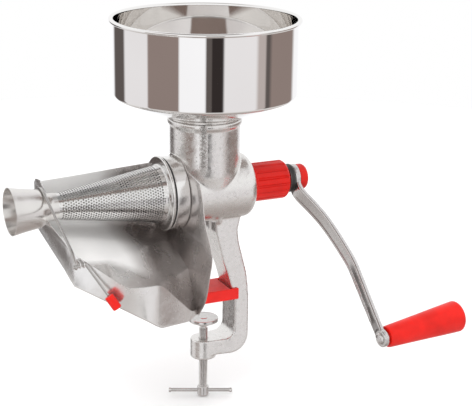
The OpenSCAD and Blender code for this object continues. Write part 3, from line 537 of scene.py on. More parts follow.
def polished_steel(name, steel, haze=0.018):
    """Mirror steel with a faint haze, slow waves and fine polishing lines."""
    f = Finish(name)
    slow, fine = f.noise(18, 2), f.noise(900, 3, stretch=(1, 1, 0.04))
    normal = f.bump(slow, 0.12, 0.12)
    normal = f.bump(fine, 0.03, 0.02, normal)
    return f.surface({"Base Color": f.mottled(f.noise(9, 2), steel, 0.95, 0.3, 0.7), "Metallic": 1.0,
                      "Roughness": f.spread(f.noise(42, 5, 0.6), 0.35, 0.75, haze, haze * 2.2),
                      "Normal": normal})


def cast_metal(name, metal):
    """Tumbled cast aluminium: fine grain, small pits, shallow waves and a little grey in the hollows. The
    ground parting line runs down the throat's front, told by the compass angle and the height of a point."""
    line_angle, line_foot, line_top = radians(-116), 0.15, 0.158
    f = Finish(name)
    grain, pits, waves = f.noise(1000, 3, 0.6), f.noise(420, 4, 0.62), f.noise(75, 3)
    x, y, z = f.parts(f.place)
    off_line = f.maths("ABSOLUTE", f.maths("ARCTAN2", y, x) - line_angle)
    on_line = f.spread(off_line, 0.03, 0.12, 1.0, 0.0) * f.spread(z, line_foot, line_top)
    chips = f.spread(f.noise(430, 5, 0.7), 0.42, 0.6) * on_line
    normal = f.bump(waves, 0.4, 1.2)
    normal = f.bump(f.spread(pits, 0.6, 0.74, 0.0, -1.0), 0.4, 0.22, normal)
    normal = f.bump(chips, 0.9, 0.8, normal)
    normal = f.bump(grain, 0.4, 0.1, normal)
    shade = f.mix(f.spread(pits, 0.57, 0.72, 0.0, 0.4), metal, tuple(0.55 * c for c in metal))
    shade = f.mix(chips * 0.6, shade, (0.25, 0.235, 0.22))
    return f.surface({"Base Color": shade, "Metallic": 1.0,
                      "Roughness": f.spread(f.noise(210, 4), 0.3, 0.7, 0.22, 0.33), "Normal": normal})


def turned_metal(name, metal, roughness, groove=0.7):
    """Turned metal: fine rings about the shaft, a groove apart in mm: the sine of the distance along the
    shaft and out from it, which is the root of the squares across."""
    f = Finish(name)
    x, y, z = f.parts(f.place)
    up = z - SHAFT_Z * MM
    out = f.maths("SQRT", y * y + up * up)
    rings = f.maths("SINE", (x + out) * (TURN / (groove * MM)))
    cloud = f.noise(22, 2, 0.5)
    normal = f.bump(rings, 0.12, 0.02)
    return f.surface({"Base Color": f.mottled(cloud, metal, 0.94), "Metallic": 1.0,
                      "Roughness": f.spread(cloud, 0.3, 0.7, roughness, roughness * 1.3),
                      "Normal": f.bump(cloud, 0.04, 0.15, normal)})


def sheet_steel(name, steel):
    """Bright thin sheet: shallow dents, a faint crinkle and smudges. The front of the trough is rubbed
    bright, a dull film lies where the juice runs, further back and to the left, and a dark brownish
    reflection is painted into the colour of the right end. The film and the painted reflection fade in and
    out between the places given here, in metres."""
    film_front, film_left, film_right = (-0.062, -0.05), (-0.1765, -0.174), (-0.105, -0.07)
    # Where the painted dark reflection on the right end begins and where it is full, in metres
    painted_reflection_left = (-0.105, -0.078)
    f = Finish(name)
    x, y, _ = f.parts(f.place)
    film = f.spread(y, *film_front) * f.spread(x, *film_left)
    film = film * f.spread(x, *film_right, 1.0, 0.0)
    dents, crinkle = f.noise(26, 3, 0.55), f.noise(75, 4, 0.6)
    normal = f.bump(dents, 0.28, 3.0)
    normal = f.bump(crinkle, 0.2, 0.4, normal)
    smudge = f.spread(f.noise(35, 5, 0.62), 0.35, 0.7, 0.2, 0.3)
    shade = f.mottled(dents, steel, 0.95)
    # Painted reflection: the right end's colour is darkened towards a brown grey to stand in for a dark
    # reflection
    shade = f.mix(f.spread(x, *painted_reflection_left, 0.0, 0.4), shade, (0.3, 0.23, 0.21))
    return f.surface({"Base Color": shade, "Metallic": 0.94 - film * 0.72, "Roughness": smudge + film * 0.14,
                      "Normal": normal, "Specular IOR Level": 0.3})


def plated_steel(name, steel, roughness):
    """Plated steel with a faint mottle and worn edges."""
    f = Finish(name)
    mottle = f.noise(700, 4, 0.6)
    shade = f.mix(f.worn_edges(0.5, 0.56, 0.6), f.mottled(mottle, steel, 0.8, 0.35, 0.65), (0.9, 0.89, 0.87))
    return f.surface({"Base Color": shade, "Metallic": 1.0,
                      "Roughness": f.spread(mottle, 0.3, 0.7, roughness, roughness * 1.5),
                      "Normal": f.bump(mottle, 0.12, 0.05)})


def moulded_plastic(name, plastic, roughness=0.3, gloss=0.08):
    """Moulded plastic: a faint orange peel, flow shading and edges that have gone paler."""
    f = Finish(name)
    peel, flow = f.noise(1100, 3), f.noise(45, 4, 0.55)
    paler = tuple(min(1.0, 1.1 * c + 0.03) for c in plastic)
    shade = f.mix(f.worn_edges(0.52, 0.6, 0.35), f.mottled(flow, plastic, 0.78), paler)
    return f.surface({"Base Color": shade, "Metallic": 0.0,
                      "Roughness": f.spread(f.noise(160, 4), 0.3, 0.7, roughness, roughness * 1.35),
                      "Coat Weight": f.spread(flow, 0.3, 0.7, gloss, gloss * 0.6),
                      "Coat Roughness": 0.08, "Specular IOR Level": 0.26,
                      "Normal": f.bump(peel, 0.12, 0.05)})


def soft_rubber(name, shade):
    """Matt rubber with a fine grain."""
    f = Finish(name)
    grain = f.noise(1400, 4)
    return f.surface({"Base Color": f.mix(grain, shade, tuple(1.8 * c for c in shade)), "Metallic": 0.0,
                      "Roughness": f.spread(grain, 0.3, 0.7, 0.55, 0.75),
                      "Normal": f.bump(grain, 0.3, 0.08)})


FINISHES = {}


def make_finishes(parts):
    """Makes each finish once, from the colours in the settings."""
    FINISHES.update(
        mirror_steel=polished_steel("mirror steel", tuple(parts.hopper.steel)),
        neck_metal=polished_steel("neck metal", (0.84, 0.82, 0.80), 0.12),
        cast_metal=cast_metal("cast metal", tuple(parts.casting.metal)),
        red_shoe=moulded_plastic("red shoe", tuple(parts.casting.shoe), 0.32),
        plated_steel=plated_steel("plated steel", tuple(parts.clamp.plate), 0.15),
        perforated_steel=plated_steel("perforated steel", tuple(parts.strainer.steel), 0.11),
        spun_steel=turned_metal("spun steel", tuple(parts.strainer.spun), 0.2, 0.9),
        machined_metal=turned_metal("machined metal", (0.90, 0.89, 0.88), 0.14),
        sheet_steel=sheet_steel("sheet steel", tuple(parts.guard.steel)),
        wire_steel=plated_steel("wire steel", (0.42, 0.40, 0.385), 0.16),
        seal=soft_rubber("seal rubber", (0.03, 0.03, 0.03)),
        red_plastic=moulded_plastic("red plastic", tuple(parts.crank.plastic)),
        white_nylon=moulded_plastic("white nylon", tuple(parts.drive.nylon), 0.45, 0.05),
        dark_steel=plated_steel("dark steel", (0.014, 0.011, 0.009), 0.3),
        # Near black steel: painted shade for the inside of the perforated cone and the walls of its holes
        dull_steel=plated_steel("painted shade steel", (0.025, 0.022, 0.02), 0.6),
        arm_metal=plated_steel("arm metal", tuple(parts.crank.metal), 0.13),
        brass_insert=turned_metal("brass", (0.78, 0.58, 0.28), 0.22),
    )


# Hopper

# Heights and radii, mm
BOWL_LOW, BOWL_FOLD, BOWL_RIM = 205.25, 228.2, 306.6
NECK_LOW, FLANGE_LOW, FLANGE_TOP = 179.6, 203.8, 205.2
NECK_RADIUS, SEAT_RADIUS = 32.35, 38.4
NECK_HOLE = NECK_RADIUS - 1.6


def make_hopper(s):
    """The bowl is one closed profile: the outer wall up to the rolled bead, over it, and down inside."""
    r, t, bead = s.radius / MM, s.sheet / MM, s.bead / MM
    fold, fillet = 4.2, 1.0
    outside = soften([(NECK_HOLE, BOWL_LOW), (SEAT_RADIUS, BOWL_LOW), (r, BOWL_FOLD), (r, BOWL_RIM - 2)],
                     [fillet, fold], 7)
    rim = arc((r + bead, BOWL_RIM), bead, -145, 105, 22)
    inside = soften([(r - t, BOWL_RIM - 0.6), (r - t, BOWL_FOLD + t), (SEAT_RADIUS, BOWL_LOW + t),
                     (NECK_HOLE, BOWL_LOW + t)], [fold - 0.6, fillet], 7)
    over = soften([rim[-1], (r - t * 0.7, BOWL_RIM + bead * 0.8), inside[0]], 1.2, 5)[1:-1]
    profile = np.concatenate([outside, rim, over, inside])
    piece("hopper_bowl", [lathe(profile, 320, "Z")], "mirror_steel", "hopper_set", "hopper")


def make_neck():
    """The neck's ring: a tube with a flange at its top."""
    profile = soften([(NECK_HOLE, NECK_LOW), (NECK_RADIUS, NECK_LOW), (NECK_RADIUS, FLANGE_LOW),
                      (SEAT_RADIUS, FLANGE_LOW), (SEAT_RADIUS, FLANGE_TOP), (NECK_HOLE, FLANGE_TOP)],
                     0.5, 4, True)
    piece("hopper_neck_ring", [lathe(profile, 160, "Z")], "neck_metal", "hopper_set", "hopper_neck")


# Cast body and clamp

def make_casting(s):
    """The solid's own shape, rebuilt from small voxels and smoothed."""
    passes, sharp = 5, 50
    shape = merged_copy("cast_body", "body")
    cast_round(shape, s.voxel, passes)
    dressed(shape, "cast_metal", "frame", "body", sharp)


def make_shoe():
    """The shoe's own shape with rolled edges, once the flat faces are joined up."""
    shape = merged_copy("jaw_shoe", "jaw_pad")
    work = bmesh.new()
    work.from_mesh(shape.data)
    bmesh.ops.dissolve_limit(work, angle_limit=radians(2), verts=work.verts, edges=work.edges)
    work.to_mesh(shape.data)
    work.free()
    bevel = shape.modifiers.new("rolled edges", "BEVEL")
    bevel.width = 1.1 * MM
    bevel.segments = 4
    bevel.limit_method = "ANGLE"
    bevel.use_clamp_overlap = True
    settled(shape)
    dressed(shape, "red_shoe", "frame", "jaw_pad", 35)


def make_screw(s):
    """The screw's radius is a function of the angle and the height: a saw of flattened teeth whose phase
    grows with height over pitch less angle over a turn, faded out at both ends. Its ball and its head are
    turned."""
    top, head_top, head_low = -34.6, -105.0, -116.0
    major, head_radius, neck, ball_middle, ball_radius = 5.0, 6.4, 3.1, -29.0, 4.6
    depth, pitch = s.thread / MM, s.pitch / MM
    around, rows = 64, 480
    z = np.linspace(head_top - 0.5, top, rows)[:, None]
    a = angles_of(around)
    phase = (z / pitch - a / TURN) % 1.0
    tooth = np.clip(2.4 * np.abs(phase - 0.5) - 0.15, 0, 1)
    fade = np.clip((top - z) / 1.2, 0, 1) * np.clip((z - head_top) / 2.0, 0, 1)
    r = major - depth * (1 - tooth) * fade - 1.0 * np.clip((z - top + 1.0), 0, 1)
    r, z = np.concatenate([0 * r[:1], r, 0 * r[:1]]), np.concatenate([z[:1], z, z[-1:]])
    threaded = np.stack([r * np.cos(a), r * np.sin(a), z + 0 * a], -1)
    grid = threaded.reshape(-1, 3), quads(rows + 2, around, False, True)
    ball = np.concatenate([[(0, -24.6)], arc((0, ball_middle), ball_radius, 80, -40, 16),
                           [(neck, -32.4), (neck, top - 0.3), (0, top - 0.3)]])
    head = soften([(0, head_top + 0.2), (head_radius, head_top + 0.2), (head_radius, head_low),
                   (0, head_low)], 1.4, 6)
    piece("clamp_screw_thread", [grid, lathe(ball, 48, "Z", False), lathe(head, 64, "Z", False)],
          "plated_steel", "screw", "clamp_screw")


def make_bar():
    """The bar is turned about its own line, with its ends upset into low mushrooms."""
    half, r, height, slid, turn = 35.5, 2.0, -110.5, -3.0, radians(-24)
    along = np.array([cos(turn), sin(turn), 0.0])
    centre = slid * along + np.array([0, 0, height])
    # Each end from its flat face inwards: radius, and distance from the face
    upset = [(0, 0), (1.9, 0), (2.6, 0.6), (2.7, 1.6), (2.4, 2.6), (r, 3.6)]
    end = [(radius, inward - half) for radius, inward in upset]
    profile = np.array(end + [(r, 0)] + [(q, -p) for q, p in end[::-1]])
    piece("clamp_t_bar", [lathe_along(profile, 40, centre, along, False)], "plated_steel", "t_bar",
          "clamp_bar")


def make_disc():
    """The disc and the socket pressed up from it: one turned profile from the top's middle round to the
    socket's mouth."""
    top, rim_low, mouth = -23, -26.8, -31.8
    profile = soften([(0, top), (4, top), (5, top - 0.35), (14.6, top - 0.35), (15.4, top), (16.2, top - 0.2),
                      (16.2, rim_low), (15.0, rim_low - 0.2), (9.2, rim_low - 0.2), (7.4, -28.2),
                      (6.6, mouth), (4.75, mouth), (4.75, -29), (3.2, -25.4), (0, -25.4)], 0.5, 4)
    piece("clamp_swivel_disc", [lathe(profile, 96, "Z", False)], "plated_steel", "swivel", "clamp_disc")


# Strainer

# Places along the shaft and radii, mm
CONE_BACK, CONE_TIP = -52.3, -170.3
CONE_BIG, CONE_SMALL = 30.8, 12.6
CONE_SHEET = 0.8
SPIGOT_RADIUS = 34.55  # bore of what sits on the barrel's spigot
FIRST_HOLES, LAST_HOLES = -58.0, -163.0


def cone_radius(x):
    """The cone's outer radius grows evenly from its tip to its flange."""
    return CONE_SMALL + (CONE_BIG - CONE_SMALL) * (x - CONE_TIP) / (CONE_BACK - CONE_TIP)


def perforated_rows(pitch, hole):
    """The perforated wall, row by row. Each row is a band of cells about the shaft, and a cell is six points
    on its edge round six points of its hole, outside and inside, with the hole's wall between them. The
    number of cells follows the row's radius, so the holes keep their distance, and neighbouring rows are
    half a cell apart on the side that faces the camera."""
    slope = hypot(1, (CONE_BIG - CONE_SMALL) / (CONE_BACK - CONE_TIP))
    rows = round((FIRST_HOLES - LAST_HOLES) * slope / (pitch * sin(pi / 3)))
    step = (FIRST_HOLES - LAST_HOLES) / rows
    seam = 0.03 * step
    corner = angles_of(6)
    following = (np.arange(6) + 1) % 6
    points, faces, ends, count, below = [], [], [], 0, None
    for row in range(rows):
        middle = LAST_HOLES + (row + 0.5) * step
        cells = round(TURN * cone_radius(middle) / pitch)
        width = TURN / cells
        shift = CAMERA_SIDE + (row % 2) * width / 2
        edge = (np.arange(cells) - 0.5) * width + shift
        x = np.array([middle - step / 2 + seam, middle, middle + step / 2 - seam])[:, None]
        hole_angle = (edge + width / 2)[:, None] + hole / cone_radius(middle) * np.cos(corner)
        hole_x = middle + hole / slope * np.sin(corner) + 0 * hole_angle
        for depth in (0.0, CONE_SHEET):
            points.append(about_shaft(x, edge, cone_radius(x) - depth).reshape(-1, 3))
            points.append(about_shaft(hole_x, hole_angle, cone_radius(hole_x) - depth).reshape(-1, 3))
        # Point numbers: three rings of edge points and six points a hole, and the same again inside
        side = 9 * cells
        k = np.arange(cells)
        after = (k + 1) % cells
        edge_ids = np.stack([cells + after, 2 * cells + after, 2 * cells + k, cells + k, k, after], -1)
        hole_ids = 3 * cells + 6 * k[:, None] + np.arange(6)
        next_ids = hole_ids[:, following]
        outer = np.stack([edge_ids, edge_ids[:, following], next_ids, hole_ids], -1).reshape(-1, 4) + count
        wall = np.stack([hole_ids, next_ids, next_ids + side, hole_ids + side], -1).reshape(-1, 4) + count
        faces += outer.tolist() + (flipped(outer) + side).tolist() + wall.tolist()
        lower = (edge, count, count + side)
        if below:
            faces += zip_pair(below, lower)
        else:
            ends.append(lower)
        below = (edge, count + 2 * cells, count + side + 2 * cells)
        count += 2 * side
    ends.append(below)
    return np.concatenate(points), faces, ends


def zip_pair(lower, upper):
    """Joins the outer rings and the inner rings of two neighbouring rows."""
    low, up = np.mod(lower[0], TURN), np.mod(upper[0], TURN)
    low_order, up_order = np.argsort(low), np.argsort(up)
    strip = zipped(low[low_order], up[up_order])
    outer, inner = [np.concatenate([lower[side] + low_order, upper[side] + up_order])[strip]
                    for side in (1, 2)]
    return outer.tolist() + flipped(inner).tolist()


def make_cone(s):
    """The perforated wall, joined to a plain flared band with a rolled flange at its large end and to a
    plain band at its small end. The walls of the holes and the sheet's inside get a near black finish, which
    is painted shade for the dark inside of the cone."""
    points, faces, (tip_ring, back_ring) = perforated_rows(s.hole_pitch / MM, s.hole / MM)
    around, t, flare, overlap = 144, CONE_SHEET, -56, 0.05
    back = np.concatenate([[(cone_radius(FIRST_HOLES) + 0.01, FIRST_HOLES + overlap)],
                           soften([(cone_radius(flare), flare), (CONE_BIG - 0.1, CONE_BACK - 0.9),
                                   (33.6, CONE_BACK - 0.05), (38.2, CONE_BACK)], 1.6, 6),
                           arc((38.3, CONE_BACK + 1.7), 1.7, -80, 90, 12),
                           [(31.5, -48.9), (30.2, -49.4), (29.6, -51.5), (cone_radius(flare) - t, flare),
                            (cone_radius(FIRST_HOLES) - t + 0.01, FIRST_HOLES + overlap)]])
    tip_radius = cone_radius(LAST_HOLES) - 0.01
    tip = np.array([(tip_radius - t, LAST_HOLES - overlap), (CONE_SMALL - t, CONE_TIP),
                    (CONE_SMALL, CONE_TIP), (tip_radius, LAST_HOLES - overlap)])
    all_points, start = [points], len(points)
    for profile, ring, forward in ((tip, tip_ring, False), (back, back_ring, True)):
        grid, cells = lathe(profile, around, "X", False)
        all_points.append(grid)
        faces += (cells + start).tolist()
        first, last = start, start + (len(profile) - 1) * around
        if forward:
            faces += zip_pair(ring, (angles_of(around), first, last))
        else:
            faces += zip_pair((angles_of(around), last, first), ring)
        start += len(grid)
    mesh = mended(meshed("perforated_cone", np.concatenate(all_points), faces), join=False)
    dressed(placed(mesh.name, mesh), "perforated_steel", "strainer_set", "strainer_cone", 30)
    # The second finish paints the shade inside the cone onto the hole walls and the sheet's inside
    mesh.materials.append(FINISHES["dull_steel"])
    middles = np.empty(len(mesh.polygons) * 3)
    mesh.polygons.foreach_get("center", middles)
    x, y, z = middles.reshape(-1, 3).T / MM
    inside = (cone_radius(x) - np.hypot(y, z - SHAFT_Z) > 0.1) & (x > LAST_HOLES) & (x < FIRST_HOLES)
    mesh.polygons.foreach_set("material_index", inside.astype(np.int32))


def make_cup():
    """The outlet cup: a bell through ten measured places, one sheet thick, with a rolled mouth."""
    start, size, neck, mouth, t = -166.3, 48.0, 14.47, 24.8, 1.2
    end = start - size
    # Share of the way to the mouth, and share of the flare there
    bell = [(0, 0), (0.13, 0.02), (0.2, 0.12), (0.28, 0.3), (0.37, 0.48), (0.48, 0.58), (0.62, 0.68),
            (0.78, 0.8), (0.92, 0.93), (1, 1)]
    line = flowing([(neck + (mouth - neck) * out, start - size * along) for along, out in bell], 6)
    slope = unit(np.gradient(line, axis=0))
    inner = line - t * np.stack([-slope[:, 1], slope[:, 0]], -1)
    inner[:, 1] = np.maximum(inner[:, 1], end)
    lip = arc((mouth - t / 2, end + t / 2), t / 2, -20, -160, 6)
    profile = np.concatenate([line[:-1], lip, inner[::-1][1:]])
    piece("outlet_bell", [lathe(profile, 144)], "spun_steel", "strainer_set", "outlet_cup", sharp=50)


def make_ring():
    """The turned ring behind the flange."""
    outer, front, back = 39, -32.65, -47.15
    profile = tube(SPIGOT_RADIUS, outer, front, back, 0.9, 5)
    piece("cone_clamp_ring", [lathe(profile, 144)], "machined_metal", "strainer_set", "cone_ring")


# Splash guard

# Places of the two end plates, and how far the trough reaches out, down and back from the shaft, mm
GUARD_LEFT, GUARD_RIGHT = -178.0, -32.05
REACH, DROP, BACK = 118.0, 120.0, 51.0
# Places along the trough where its section is given, as shares of its length
STATIONS = np.array([0, 0.31, 0.45, 0.55, 0.875, 1])
# Six folds run the length of the trough, from its back top edge round to its front rim. Each has its place
# across and its height at every station, as shares of the back or the reach, and of the drop
FOLD_SHARES = np.array([
    [(0.6, 0.16), (0.71, 0.163), (0.77, 0.165), (0.81, 0.167), (0.95, 0.17), (1, 0.17)],
    [(0.62, -0.225), (0.73, -0.29), (0.79, -0.32), (0.83, -0.34), (0.96, -0.41), (1, -0.43)],
    [(-0.508, -0.383), (-0.48, -0.39), (-0.36, -0.405), (-0.27, -0.415), (0.02, -0.46), (0.13, -0.5)],
    [(-0.66, -0.425), (-0.75, -0.53), (-0.71, -0.59), (-0.67, -0.63), (-0.36, -0.67), (-0.26, -0.64)],
    [(-0.775, -0.45), (-0.93, -0.67), (-1, -0.77), (-0.975, -0.86), (-0.65, -0.975), (-0.46, -1)],
    [(-0.75, -0.175), (-0.99, -0.45), (-1, -0.455), (-0.985, -0.46), (-0.69, -0.865), (-0.49, -0.94)]])
# Outlines of the two end plates, as shares of the reach and the drop
FRONT_SHARES = [(-0.5, 0.2), (-0.56, 0.09), (-0.6, -0.05), (-0.64, -0.15), (-0.69, -0.23), (-0.76, -0.33),
                (-0.77, -0.42), (-0.73, -0.55), (-0.65, -0.8), (-0.5, -0.99)]
LEFT_LOW_SHARES = [(-0.18, -0.11), (-0.5, -0.14), (-0.745, -0.18)]
LEFT_TOP_SHARES = [(-0.02, 0.165), (0.1, 0.22), (0.22, 0.2)]
RIGHT_TUCK = [(-0.5, -0.4), (-0.3, -0.5), (0, -0.5), (0.5, -0.3), (0.5, 0)]  # mm off the folds
HOOD, NOTCH = 40.6, 17.67  # radii of the right plate's top and of the left plate's notch
PIVOT = np.array([-169.4, -98.53, 95.6])  # of the latch lever, in the guard's two ears


def fold_lines():
    """The folds as points of each station: across and height, in mm."""
    scale = np.array([[BACK], [BACK], [REACH], [REACH], [REACH], [REACH]])
    return np.stack([FOLD_SHARES[..., 0] * scale, SHAFT_Z + DROP * FOLD_SHARES[..., 1]], -1)


def blurred(grid, passes, axis):
    """Softens a grid of points along one of its directions by weighing each with its neighbours a quarter
    each, over and over, with the ends held."""
    grid = np.moveaxis(grid.copy(), axis, 0)
    for _ in range(passes):
        grid[1:-1] = 0.25 * grid[:-2] + 0.5 * grid[1:-1] + 0.25 * grid[2:]
    return np.moveaxis(grid, 0, axis)


def make_trough(s):
    """The trough is a function of the place along it and the place across it: straight between the folds and
    the stations, then softened both ways, and a sheet thick along its own normals."""
    folds, station_passes = fold_lines(), 40
    along, across = np.linspace(0, 1, 190), np.linspace(0, 5, 206)
    at_u = np.stack([np.stack([np.interp(along, STATIONS, line) for line in fold.T], -1) for fold in folds])
    span = np.minimum(across.astype(int), 4)
    share = (across - span)[:, None, None]
    sheet = (at_u[span] * (1 - share) + at_u[span + 1] * share).transpose(1, 0, 2)
    sheet = blurred(blurred(sheet, int(s.crease / MM * 1.6), 1), station_passes, 0)
    x = GUARD_LEFT + (GUARD_RIGHT - GUARD_LEFT) * along[:, None, None]
    outer = np.concatenate([np.broadcast_to(x, sheet.shape[:2] + (1,)), sheet], -1)
    normal = np.cross(np.gradient(outer, axis=1), np.gradient(outer, axis=0))
    normal[..., 0] = 0
    inner = outer + s.sheet / MM * unit(normal)
    ring = np.concatenate([outer, inner[:, ::-1]], 1)
    ends = 0.5 * (ring + ring[:, ::-1])[[0, -1]]
    ring = np.concatenate([ends[:1], ring, ends[1:]])
    return ring.reshape(-1, 3), quads(ring.shape[0], ring.shape[1], False, True)


def plate(lines, x, thickness):
    """A flat plate square to the shaft: its outline and its holes filled as a flat curve, given a thickness
    and rounded edges, and stood up at its place. The points are across and height, in mm."""
    edge = 0.22 * thickness
    curve = bpy.data.curves.new("plate", "CURVE")
    curve.dimensions = "2D"
    curve.fill_mode = "BOTH"
    curve.extrude = (thickness / 2 - edge) * MM
    curve.bevel_depth = edge * MM
    curve.bevel_resolution = 1
    curve.offset = -edge * MM
    for line in lines:
        spline = curve.splines.new("POLY")
        spline.points.add(len(line) - 1)
        flat = np.column_stack([line * MM, np.zeros(len(line)), np.ones(len(line))])
        spline.points.foreach_set("co", flat.ravel())
        spline.use_cyclic_u = True
    holder = placed("plate", curve)
    graph = bpy.context.evaluated_depsgraph_get()
    mesh = bpy.data.meshes.new_from_object(holder.evaluated_get(graph))
    flat = mesh_points(mesh)
    points = np.stack([x + flat[:, 2], flat[:, 0], flat[:, 1]], -1)
    faces = [list(face.vertices) for face in mesh.polygons]
    bpy.data.objects.remove(holder)
    bpy.data.curves.remove(curve)
    bpy.data.meshes.remove(mesh)
    return points, faces


def guard_line(shares):
    """Points across and up, in mm, from shares of the guard's reach and drop."""
    return [(REACH * across, SHAFT_Z + DROP * up) for across, up in shares]


def make_guard(s):
    """The trough, the right plate that hangs on the spigot, the left plate with its notch, and the ears."""
    t, shaft = s.sheet / MM, (0, SHAFT_Z)
    folds = fold_lines()
    first, last = folds[:, 0], folds[:, -1]
    right = np.concatenate([arc(shaft, HOOD, 45, 135, 24), flowing(guard_line(FRONT_SHARES), 4),
                            last[4::-1] + RIGHT_TUCK])
    spigot = arc(shaft, SPIGOT_RADIUS, 0, 357.5, 144)
    left = np.concatenate([guard_line(LEFT_TOP_SHARES), first[:5], guard_line(LEFT_LOW_SHARES)[::-1],
                           arc(shaft, NOTCH, 218, 478, 40)])
    parts = [make_trough(s), plate([right, spigot], GUARD_RIGHT, t), plate([left], GUARD_LEFT, t)]
    y, z = PIVOT[1:]
    ear, pin_hole = 3.4, arc(PIVOT[1:], 1.35, 0, 345, 24)
    reach = y + 3.2 * ear
    tab = np.concatenate([arc((y, z), ear, 90, 270, 16), [(reach, z - ear), (reach, z + ear)]])
    parts += [plate([tab, pin_hole], GUARD_LEFT + inset, t) for inset in (2.6, 6.6)]
    piece("splash_trough", parts, "sheet_steel", "strainer_set", "splash_guard", sharp=32)


# Latch

LEVER_RUN = np.array([26.55, -17.7, -44.4])  # from the pivot to the finger's end
WIRE_PLANE = -180.6
THROW = 4.0  # of the lever's crank, which carries the wire's eye


def make_latch(s):
    """The lever is one rod: the wire's pin, the step, the pivot through the ears, and the finger."""
    r = s.wire / MM
    y, z = PIVOT[1:]
    pin_end, step_start, step_end = WIRE_PLANE - 2, -177.4, -177.0
    path = soften([(pin_end, y - THROW, z), (step_start, y - THROW, z), (step_end, y, z), tuple(PIVOT),
                   tuple(PIVOT + 0.74 * LEVER_RUN)], [0.9, 0.9, 2.2], 6)
    thickness = np.where(path[:, 2] > z - 0.5, r, 0.92 * r)
    piece("latch_lever_rod", [rod(path, thickness, 20, (0.2, 0.9, 0.3))], "wire_steel", "latch",
          "latch_lever")
    tip, size, mouth = 4.6, 15, 12.5
    sleeve = soften([(0, 0), (tip, 0), (tip, size), (1.9, size), (1.6, mouth), (0, mouth)],
                    [0.9, 1.3, 0.3, 0.2], 5)
    piece("lever_tip_sleeve", [lathe_along(sleeve, 48, PIVOT + 0.7 * LEVER_RUN, LEVER_RUN, False)],
          "red_plastic", "latch", "lever_tip")


def make_wire(s):
    """The retaining wire: a hook over the cup's neck, a long straight run, a knee, and an eye, which is a
    ring whose section is wider along the shaft than across."""
    y, z = PIVOT[1:]
    pin = y - THROW
    hook_radius = 20
    hook = arc((0, SHAFT_Z), hook_radius, 30, 118, 20)
    run = soften([tuple(hook[-1]), (y + 9, z + 13.5), (y + 3.4, z + 10.4), (pin, z + 2.6)], 4, 6)
    line = np.concatenate([hook[:-1], run])
    path = np.column_stack([np.full(len(line), WIRE_PLANE), line])
    eye_radius, section, wider, steps, around = 2.1, 0.78, 1.5, 32, 16
    turned = angles_of(steps)
    loop = np.column_stack([np.full(steps, WIRE_PLANE), pin + eye_radius * np.sin(turned),
                            z + eye_radius * np.cos(turned)])
    outward = unit(loop - [WIRE_PLANE, pin, z])
    ring = loop[:, None] + section * circles(around, outward[:, None], np.array([wider, 0, 0]))
    eye = ring.reshape(-1, 3), quads(steps, around, True, True)
    piece("guard_retaining_wire", [rod(path, s.wire / MM, 20, (1, 0, 0)), eye], "wire_steel", "latch_wire",
          "guard_wire")


# Drive

def make_auger():
    """The flight: at each angle a rounded blade from the core out to the flight's radius, moved along the
    shaft by a pitch a turn. The core is turned."""
    back, tip, pitch, blade, bore, core_radius = 34.0, -161.3, 38.0, 5.0, 6.55, 10.5
    total = back - tip - blade
    x = back - blade - total * np.linspace(0, 1, int(total / pitch * 72))[:, None]
    # The flight fills the barrel as far as the cone's mouth and then follows the cone, with a clearance
    mouth, barrel, clear, least = -48.9, 28.55, 1.8, 3
    out = np.where(x > mouth, barrel, cone_radius(x) - clear)
    core = np.minimum(core_radius, out - least) - 1.5
    # The blade's outline: share of the way out from the core, and share of the blade's thickness
    share_r = np.array([0, 0.12, 0.9, 0.97, 1, 1, 0.97, 0.9, 0.12, 0])
    share_x = np.array([0, 0.16, 0.22, 0.28, 0.4, 0.6, 0.72, 0.78, 0.84, 1])
    turned = TURN * (x - back) / pitch
    flight = capped(about_shaft(x + blade * share_x, turned, core + (out - core) * share_r))
    body = soften([(bore, back), (core_radius, back), (core_radius, -124),
                   (cone_radius(tip) - clear - least, tip + 1), (0, tip), (0, -43.5), (bore, -43.5)],
                  [0.6, 12, 1.0, 0, 0], 5)
    piece("nylon_auger", [flight, lathe(body, 64)], "white_nylon", "crank", "auger")


def make_nut(s):
    """The nut's radius is a function of the angle and the place along it: a turned outline less a row of
    round flutes, each a power of the cosine's upper part, that fade out at both ends."""
    around, start, end, radius, chamfer = 24 * 16, 51.2, 95.2, 21.0, 4.5
    line = soften([(15.6, start), (radius, start), (radius, end - 3.6), (radius - 1.4, end - 1.6),
                   (radius - chamfer, end), (13.9, end)], [0.8, 1.2, 1.2, 1.0], 5)
    middle = np.column_stack([np.full(40, radius), np.linspace(start + 2.0, end - 5.0, 40)])
    split = np.searchsorted(line[:, 1], start + 1.4)
    line = np.concatenate([line[:split], middle, line[line[:, 1] > end - 4.9]])
    a = angles_of(around)
    groove = np.clip((np.cos(a * s.flutes) - 0.4) / 0.6, 0, 1) ** 0.6
    x = line[:, 1:]
    first, last = start + 2.6, end - 2.2
    fade = np.clip((x - first) / 1.6, 0, 1) * np.clip((last - x) / 2.6, 0, 1)
    fade = fade * fade * (3 - 2 * fade)
    shell = about_shaft(x, a, line[:, :1] - s.flute_depth / MM * groove * fade)
    hole, spigot, floor = 7.05, 14.9, 90.2
    inner = np.array([(7.4, end - 0.4), (hole, end - 1.0), (hole, floor), (spigot, floor),
                      (spigot, start + 0.4)])
    points = np.concatenate([shell, about_shaft(inner[:, 1:], a, inner[:, :1])])
    piece("ribbed_rear_nut", [(points.reshape(-1, 3), quads(len(points), around, True, True))],
          "red_plastic", "frame", "rear_nut", sharp=30)


def make_washer():
    """The dark collar between the nut and the arm."""
    bore, face, radius, start, end = 6.6, 13.8, 15.6, 95.4, 103.4
    profile = soften([(bore, start), (face, start), (radius, start + 1.8), (radius, end - 1.2),
                      (14.4, end), (bore, end)], 0.6, 5, True)
    piece("crank_collar", [lathe(profile, 96)], "dark_steel", "crank", "crank_washer")


# Crank

